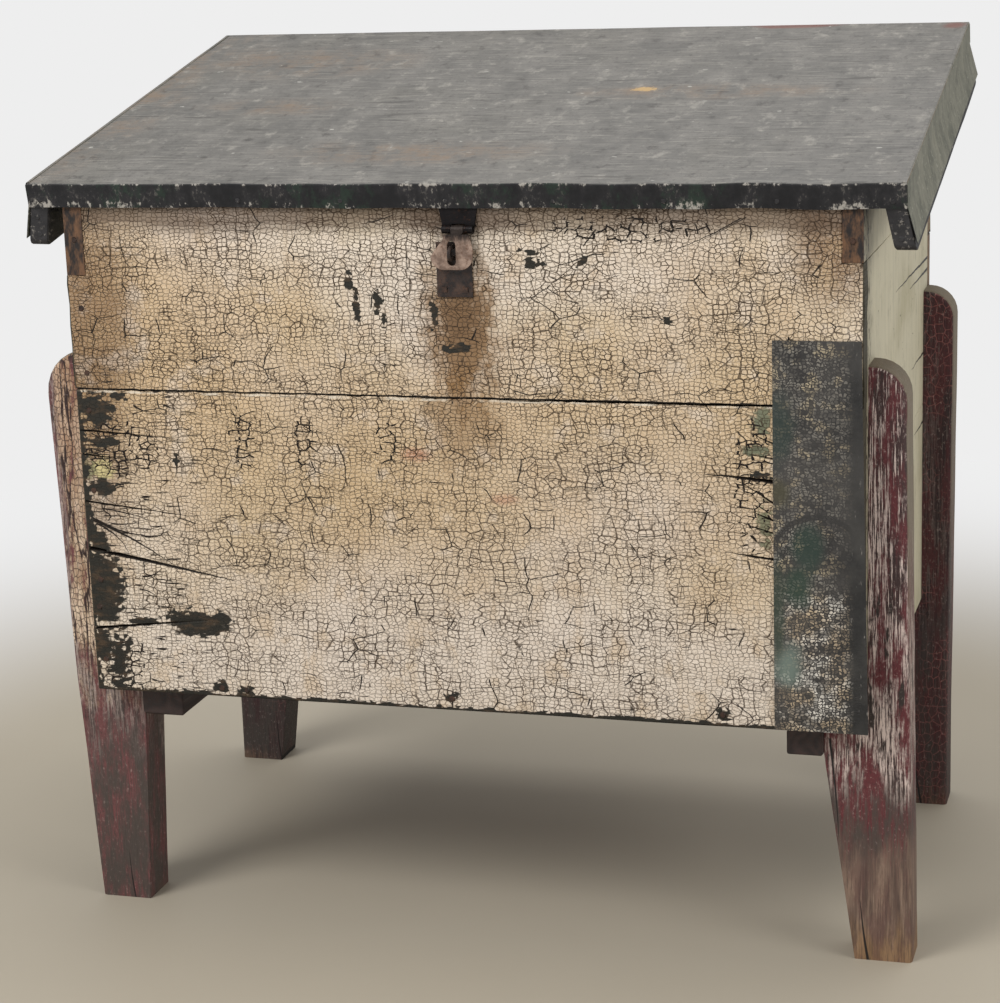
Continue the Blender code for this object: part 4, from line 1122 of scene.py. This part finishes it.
def cover_paint():
    material, place = finish("dark_lid_paint")
    broad = cloud(place, (8, 6, 6), 4.0, 0.6)
    streak = cloud(place, (24, 15, 15), 6.0, 0.75)
    blotch = cloud(place, (52, 34, 34), 5.0, 0.7)
    fine = cloud(place, (300, 190, 190), 3.0, 0.7)
    brushing = cloud(place, (22, 420, 420), 4.0, 0.8)
    soft = (broad - 0.5) * 1.8
    ragged = (fine - 0.5) * 2.5

    def marks(places, rough, edge):
        masks = []
        for centre, size in places:
            spot = {"Vector": place, "Centre": centre, "Size": size}
            masks.append(put(patch, {**spot, "Ragged": rough, "Edge": edge}))
        return joined(masks)

    # dark streaks across the top: painted shade of shallow dents and creases in the sheet
    dent_shade = ramp(cloud(place, (11, 90, 90), 3.0, 0.6), 0.64, 0.72)
    scratches = ramp(cloud(place, (40, 330, 330), 3.0, 0.75), 0.60, 0.70) * ramp(blotch, 0.46, 0.60)
    brown = marks(BROWN_PLACES, soft, 0.7) * (ramp(streak, 0.4, 0.65) * 0.75) * ramp(brushing, 0.36, 0.60)
    specks = ramp(cloud(place, (75, 120, 120), 2.0), 0.735, 0.76)
    paint = coats(
        over(ramp(streak, 0.28, 0.72), (88, 86, 82), (114, 111, 106)),
        (ramp(broad, 0.48, 0.70) * 0.45, (102, 99, 92)),
        (ramp(blotch, 0.54, 0.72) * 0.75, (144, 140, 132)),
        (ramp(blotch, 0.44, 0.30) * 0.75, (60, 57, 54)),
        (ramp(brushing, 0.52, 0.68) * 0.65, (144, 140, 131)),
        (ramp(brushing, 0.46, 0.32) * 0.65, (62, 60, 57)),
        (dent_shade * 0.6, (58, 55, 51)),
        (scratches * 0.45, (156, 151, 140)),
        (ramp(fine, 0.54, 0.70) * 0.45, (66, 63, 60)),
        (brown, (116, 92, 68)),
        (marks(RED_PLACES, soft, 0.4) * 0.65, (110, 56, 44)),
        (marks(CHIPS, ragged, 0.2) * 0.8, (180, 148, 96)),
        (specks * 0.6, (180, 178, 170)),
    )
    # the folds facing front and back are drawn near black, painted shade on the sheet's dark grey paint; at
    # the ends they are dull grey-green, and along their rims they are rubbed pale, partly as a painted
    # highlight
    sideways, upward = axes(put("TexCoord", {}, out="Normal", tree=place.tree), "XZ")
    folded = ramp(upward, 0.75, 0.35)
    lip_low, lip_high = spans("lid_cover")[2]
    rise = dot(place, lid_up)
    at_foot = ramp(rise, lip_low + 0.008, lip_low + 0.001)
    # a pale line along the top of each fold: edge wear and painted highlight
    rim_wear_and_highlight = ramp(rise, lip_high - 0.0050, lip_high - 0.0022)
    edge_wear_and_rim_highlight = figure("MAXIMUM", at_foot * 0.9, rim_wear_and_highlight * 1.1)
    rubbed = ramp(blotch * 0.6 + fine * 0.4 + edge_wear_and_rim_highlight * 0.12, 0.64, 0.71)
    scuffs_and_highlights = ramp(fine, 0.50, 0.66) * ramp(blotch, 0.50, 0.60)
    dull = coats(
        over(ramp(cloud(place, (60, 90, 14), 4.0, 0.65), 0.30, 0.70), (98, 98, 86), (122, 120, 106)),
        (ramp(blotch, 0.50, 0.64) * 0.55, (70, 72, 62)),
        (ramp(fine, 0.56, 0.70) * 0.55, (160, 158, 144)),
    )
    # near black for the folds' painted shade, with dark green streaks, and pale scuffs and rubs made bright
    # enough to stand also for the fold's highlights
    dark = coats(
        over(ramp(blotch, 0.36, 0.68), (4, 3, 6), (34, 32, 34)),
        (ramp(streak, 0.52, 0.62) * 0.8, (24, 42, 30)),
        (scuffs_and_highlights * 0.55, (112, 107, 100)),
        (rubbed * 0.80, (172, 166, 156)),
        (ramp(abs(sideways), 0.6, 0.8), dull),
    )
    rough = figure("MAXIMUM", ramp(streak, -0.6, 1.4), folded * 0.75)
    return surface(material, over(folded, paint, dark), rough, blotch * 0.8 + fine * 0.2, 0.0009)


def on_lid(x, along, high):
    """A point given along X, along the slope and square to it."""
    return Vector((x, 0, 0)) + lid_back * along + lid_up * high


def drawn(points, step, count):
    """A sheet drawn out from an open profile by equal steps."""
    bm = bmesh.new()
    line = [bm.verts.new(point) for point in points]
    edges = [bm.edges.new(pair) for pair in zip(line, line[1:])]
    bmesh.ops.spin(
        bm, geom=line + edges, cent=(0, 0, 0), axis=(1, 0, 0), dvec=step, angle=0.0, steps=count,
    )
    return bm


COVER_STEPS = 110
TOP_STEPS = 40
FOLD_STEPS = 4
FOLD_ROUND = 0.0030
LIP_DROP = 0.0024
SHEET = 0.0008
TOP_WAVE = 0.0006
TOP_WAVES = (7, 9)
FOLD_WAVE = 0.0012
FOLD_WAVES = 16
FOLD_REACH = 0.02
SUNK = 0.0004
LIP_DENT = 0.0007
LIP_WAVES = (22, 30)
LIP_DEPTH = 0.003
(left_x, right_x), (near, far), (lip_foot, top_high) = spans("lid_cover")


def fold(centre, start):
    """Quarter round of the sheet's profile about a place along the slope, from an angle down."""
    points = []
    for k in range(FOLD_STEPS + 1):
        angle = start - math.pi / 2 * k / FOLD_STEPS
        rise = top_high - FOLD_ROUND + FOLD_ROUND * math.sin(angle)
        points.append((centre + FOLD_ROUND * math.cos(angle), rise))
    return points


lip_middle = (lip_foot + top_high) / 2
profile = [
    (near, lip_foot - LIP_DROP), (near, lip_foot), (near, lip_middle),
    *fold(near + FOLD_ROUND, math.pi),
    *((near + (far - near) * k / TOP_STEPS, top_high) for k in range(1, TOP_STEPS)),
    *fold(far - FOLD_ROUND, math.pi / 2),
    (far, lip_middle), (far, lip_foot),
]
cover_step = ((right_x - left_x) / COVER_STEPS, 0, 0)
bm = drawn([on_lid(left_x, along, high) for along, high in profile], cover_step, COVER_STEPS)
bmesh.ops.recalc_face_normals(bm, faces=bm.faces)
for v in bm.verts:
    # low waves on the top, deeper ones along the front fold
    along = v.co.dot(lid_back) - near
    crease = math.exp(-along / FOLD_REACH)
    wave = noise.noise(Vector((v.co.x * TOP_WAVES[0], along * TOP_WAVES[1], 3.0))) * TOP_WAVE
    wave += noise.noise(Vector((v.co.x * FOLD_WAVES, 5.0, 1.0))) * FOLD_WAVE * crease
    v.co += lid_up * (wave - SUNK)
    if along < LIP_DEPTH:
        dent = noise.noise(Vector((v.co.x * LIP_WAVES[0], 2.0, v.co.z * LIP_WAVES[1])))
        v.co -= lid_back * (LIP_DENT + LIP_DENT * dent)
bmesh.ops.solidify(bm, geom=bm.faces[:], thickness=SHEET)
cover_finish = cover_paint()
piece("lid_sheet", bm, cover_finish, "lid", "lid_paint", "lid_cover")

END_STEPS = 60
END_INSET = 0.0006
SKIRT = 0.0007
SKIRT_RISE = 0.009
SKIRT_WAVE = 0.0005
SKIRT_WAVES = 24.0
END_SHEET = SKIRT * 0.8
LAP = 0.004
LAP_PROUD = 0.0003
BEND_IN = 0.001
BEND_DOWN = 0.003
BACK_CORNER = 0.002
TUCK = 0.0028
for side, turn, edge in (("left", -1, left_x), ("right", 1, right_x)):
    (cleat_low, cleat_high), (cleat_near, cleat_far), (cleat_foot, cleat_top) = spans(f"lid_cleat_{side}")
    splayed = (cleat_low if turn < 0 else cleat_high) + turn * SKIRT
    profile = (
        (edge - turn * LAP, top_high + LAP_PROUD), (edge - turn * BEND_IN, top_high),
        (edge + turn * SKIRT, top_high - BEND_DOWN), (edge + turn * SKIRT, cleat_top),
        (splayed, cleat_foot + SKIRT_RISE),
    )
    end_step = lid_back * ((far - END_INSET - near) / END_STEPS)
    bm = drawn([on_lid(x, near, high) for x, high in profile], end_step, END_STEPS)
    # the skirt stops with the cleat, the part above it goes on to the back fold and tucks under it
    bmesh.ops.bisect_plane(bm, geom=everything(bm), plane_co=lid_back * cleat_far, plane_no=lid_back)
    skirt_end = []
    for f in bm.faces:
        middle = f.calc_center_median()
        if middle.dot(lid_back) > cleat_far and middle.dot(lid_up) < cleat_top:
            skirt_end.append(f)
    bmesh.ops.delete(bm, geom=skirt_end, context="FACES")
    for v in bm.verts:
        v.co.x += turn * SKIRT_WAVE * noise.noise(v.co * SKIRT_WAVES)
        if v.co.dot(lid_back) > far - BACK_CORNER and v.co.dot(lid_up) > top_high - BACK_CORNER:
            v.co -= lid_up * TUCK
    bmesh.ops.recalc_face_normals(bm, faces=bm.faces)
    bmesh.ops.solidify(bm, geom=bm.faces[:], thickness=END_SHEET)
    piece(f"end_sheet_{side}", bm, cover_finish, "lid", "lid_paint")

TACKS = 9
TACK_INSET = 0.012
TACK_RISE = 0.004
TACK_HEAD = 0.0024
CLEAT_NAIL_HEAD = 0.0026
TACK_HEIGHT = 0.0010
bm = bmesh.new()
for k in range(TACKS):
    x = left_x + TACK_INSET + (right_x - left_x - 2 * TACK_INSET) * k / (TACKS - 1)
    drive(bm, on_lid(x, near - SHEET, lip_foot + TACK_RISE), -lid_back, TACK_HEAD, TACK_HEIGHT)
for side in ("left", "right"):
    (cleat_low, cleat_high), (cleat_near, cleat_far), (cleat_foot, cleat_top) = spans(f"lid_cleat_{side}")
    for share in (0.3, 0.7):
        high = cleat_foot + (cleat_top - cleat_foot) * share
        spot = on_lid((cleat_low + cleat_high) / 2, cleat_near, high)
        drive(bm, spot, -lid_back, CLEAT_NAIL_HEAD, TACK_HEIGHT)
piece("cover_tacks", bm, cleat_finish, "lid", "fasteners")


# Hasp
# A strap screwed under the lid's front carries a slotted leaf on a rolled pin; the leaf drops over the
# staple. The strap has the lid's black paint, the leaf is rubbed to brown iron.

STRAP_FOOT = 0.7025
FLARE_RISE = 0.004
FLARE = 0.28
strap_iron = iron("black_strap_iron", (30, 24, 23), (15, 13, 14), 0.9, shine=0.15)
strap_low, strap_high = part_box("hasp_strap")
strap_x = (strap_low[0] + strap_high[0]) / 2
bm = softened("hasp_strap", 0.0003)
for v in bm.verts:
    # the sheet flares out above the knuckle
    v.co.x += (v.co.x - strap_x) * FLARE * clamp((v.co.z - STRAP_FOOT) / FLARE_RISE)
piece("hasp_strap_worn", bm, strap_iron, "lid", "iron", "hasp_strap")
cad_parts["hasp_pin"].material_slots[0].material = strap_iron

KNUCKLE_FOOT = 0.6925
SHOULDER_FOOT = 0.678
SHOULDER_RISE = 0.013
SHOULDER_SLOPE = 0.16
LEAF_X = 0.0085
LEAF_BODY = 0.008
leaf_iron = iron("rubbed_leaf_iron", (172, 148, 132), (118, 98, 86), 0.0, shine=0.25, painted_above=0.692)
bm = softened("hasp_leaf", 0.0004)
score(bm, z=0.002)
for v in bm.verts:
    # the shoulders slope in towards the knuckle
    if v.co.z < KNUCKLE_FOOT and abs(v.co.x - LEAF_X) > LEAF_BODY:
        v.co.x += (LEAF_X - v.co.x) * SHOULDER_SLOPE * clamp((v.co.z - SHOULDER_FOOT) / SHOULDER_RISE)
piece("hasp_leaf_worn", bm, leaf_iron, "hasp", "iron", "hasp_leaf")


# Floor, light and camera
# A pale floor that fades to white away from the bin, a broad soft lamp above the left of the front,
# a weaker one on the right, and the camera at the photograph's place.

FLOOR_SIZE = 16.0
FLOOR_NEAR = (174, 165, 148)
FLOOR_SPECKLE = (164, 154, 137)
FLOOR_FAR = (240, 240, 240)
BACKDROP = (238, 238, 238)
bm = bmesh.new()
bmesh.ops.create_grid(bm, x_segments=1, y_segments=1, size=FLOOR_SIZE / 2)
floor_mesh = bpy.data.meshes.new("floor")
bm.to_mesh(floor_mesh)
bm.free()
floor = bpy.data.objects.new("floor", floor_mesh)
bpy.context.scene.collection.objects.link(floor)
floor_finish, place = finish("pale_floor")
tree = place.tree
shader = tree.nodes["Principled BSDF"]
far_off = ramp(put("VectorMath", {0: place}, out="Value", operation="LENGTH"), 0.7, 1.9)
ground = over(cloud(place, (6, 6, 6), 6.0, 0.65) * 0.4, FLOOR_NEAR, FLOOR_SPECKLE)
link(shader.inputs, {"Base Color": over(far_off, ground, FLOOR_FAR)})
shader.inputs["Roughness"].default_value = 0.6
kinds = ("Is Camera Ray", "Is Glossy Ray", "Is Transmission Ray")
rays = joined([put("LightPath", {}, out=kind, tree=tree) for kind in kinds])
white = put("Emission", {"Color": tint(*BACKDROP), "Strength": 1.0}, tree=tree)
fading = put("MixShader", {0: far_off * rays, 1: Value(tree, shader.outputs[0]), 2: white})
link(tree.nodes["Material Output"].inputs, {"Surface": fading})
floor_mesh.materials.append(floor_finish)

world = bpy.data.worlds.new("studio")
world.use_nodes = True
tree = world.node_tree
soft_light = put("Background", {"Color": (1.0, 1.0, 1.0, 1.0), "Strength": 0.45}, tree=tree)
wall = put("Background", {"Color": tint(*BACKDROP), "Strength": 1.0}, tree=tree)
seen = put("LightPath", {}, out="Is Camera Ray", tree=tree)
studio = put("MixShader", {0: seen, 1: soft_light, 2: wall})
link(tree.nodes["World Output"].inputs, {"Surface": studio})
bpy.context.scene.world = world


def lamp(name, place, target, size, power):
    light = bpy.data.lights.new(name, "AREA")
    light.shape = "DISK"
    light.size = size
    light.energy = power
    obj = bpy.data.objects.new(name, light)
    aim = (Vector(target) - Vector(place)).to_track_quat("-Z", "Y").to_matrix().to_4x4()
    obj.matrix_world = Matrix.Translation(place) @ aim
    bpy.context.scene.collection.objects.link(obj)


lamp("key_lamp", (-1.6, -2.4, 2.9), (0.0, 0.0, 0.45), size=1.8, power=85.0)
lamp("fill_lamp", (2.6, -1.2, 1.8), (0.0, 0.0, 0.45), size=1.6, power=26.0)
lamp("top_lamp", (0.3, 0.6, 3.2), (0.0, 0.0, 0.5), size=2.2, power=40.0)

# the place, turns and lens of the camera, solved from the photograph's corner points
CAMERA_PLACE = (0.680287, -2.400984, 0.994277)
CAMERA_YAW = 0.287985
CAMERA_PITCH = 0.241461
CAMERA_ROLL = 0.034417
SENSOR_WIDTH = 36.0
FOCAL_LENGTH = 89.364
lens = bpy.data.cameras.new("camera")
lens.sensor_fit = "HORIZONTAL"
lens.sensor_width = SENSOR_WIDTH
lens.lens = FOCAL_LENGTH
camera = bpy.data.objects.new("camera", lens)
aim = Matrix.Rotation(CAMERA_YAW, 4, "Z") @ Matrix.Rotation(math.pi / 2 - CAMERA_PITCH, 4, "X")
camera.matrix_world = Matrix.Translation(CAMERA_PLACE) @ aim @ Matrix.Rotation(-CAMERA_ROLL, 4, "Z")
bpy.context.scene.collection.objects.link(camera)
bpy.context.scene.camera = camera
bpy.context.scene.view_settings.view_transform = "Standard"
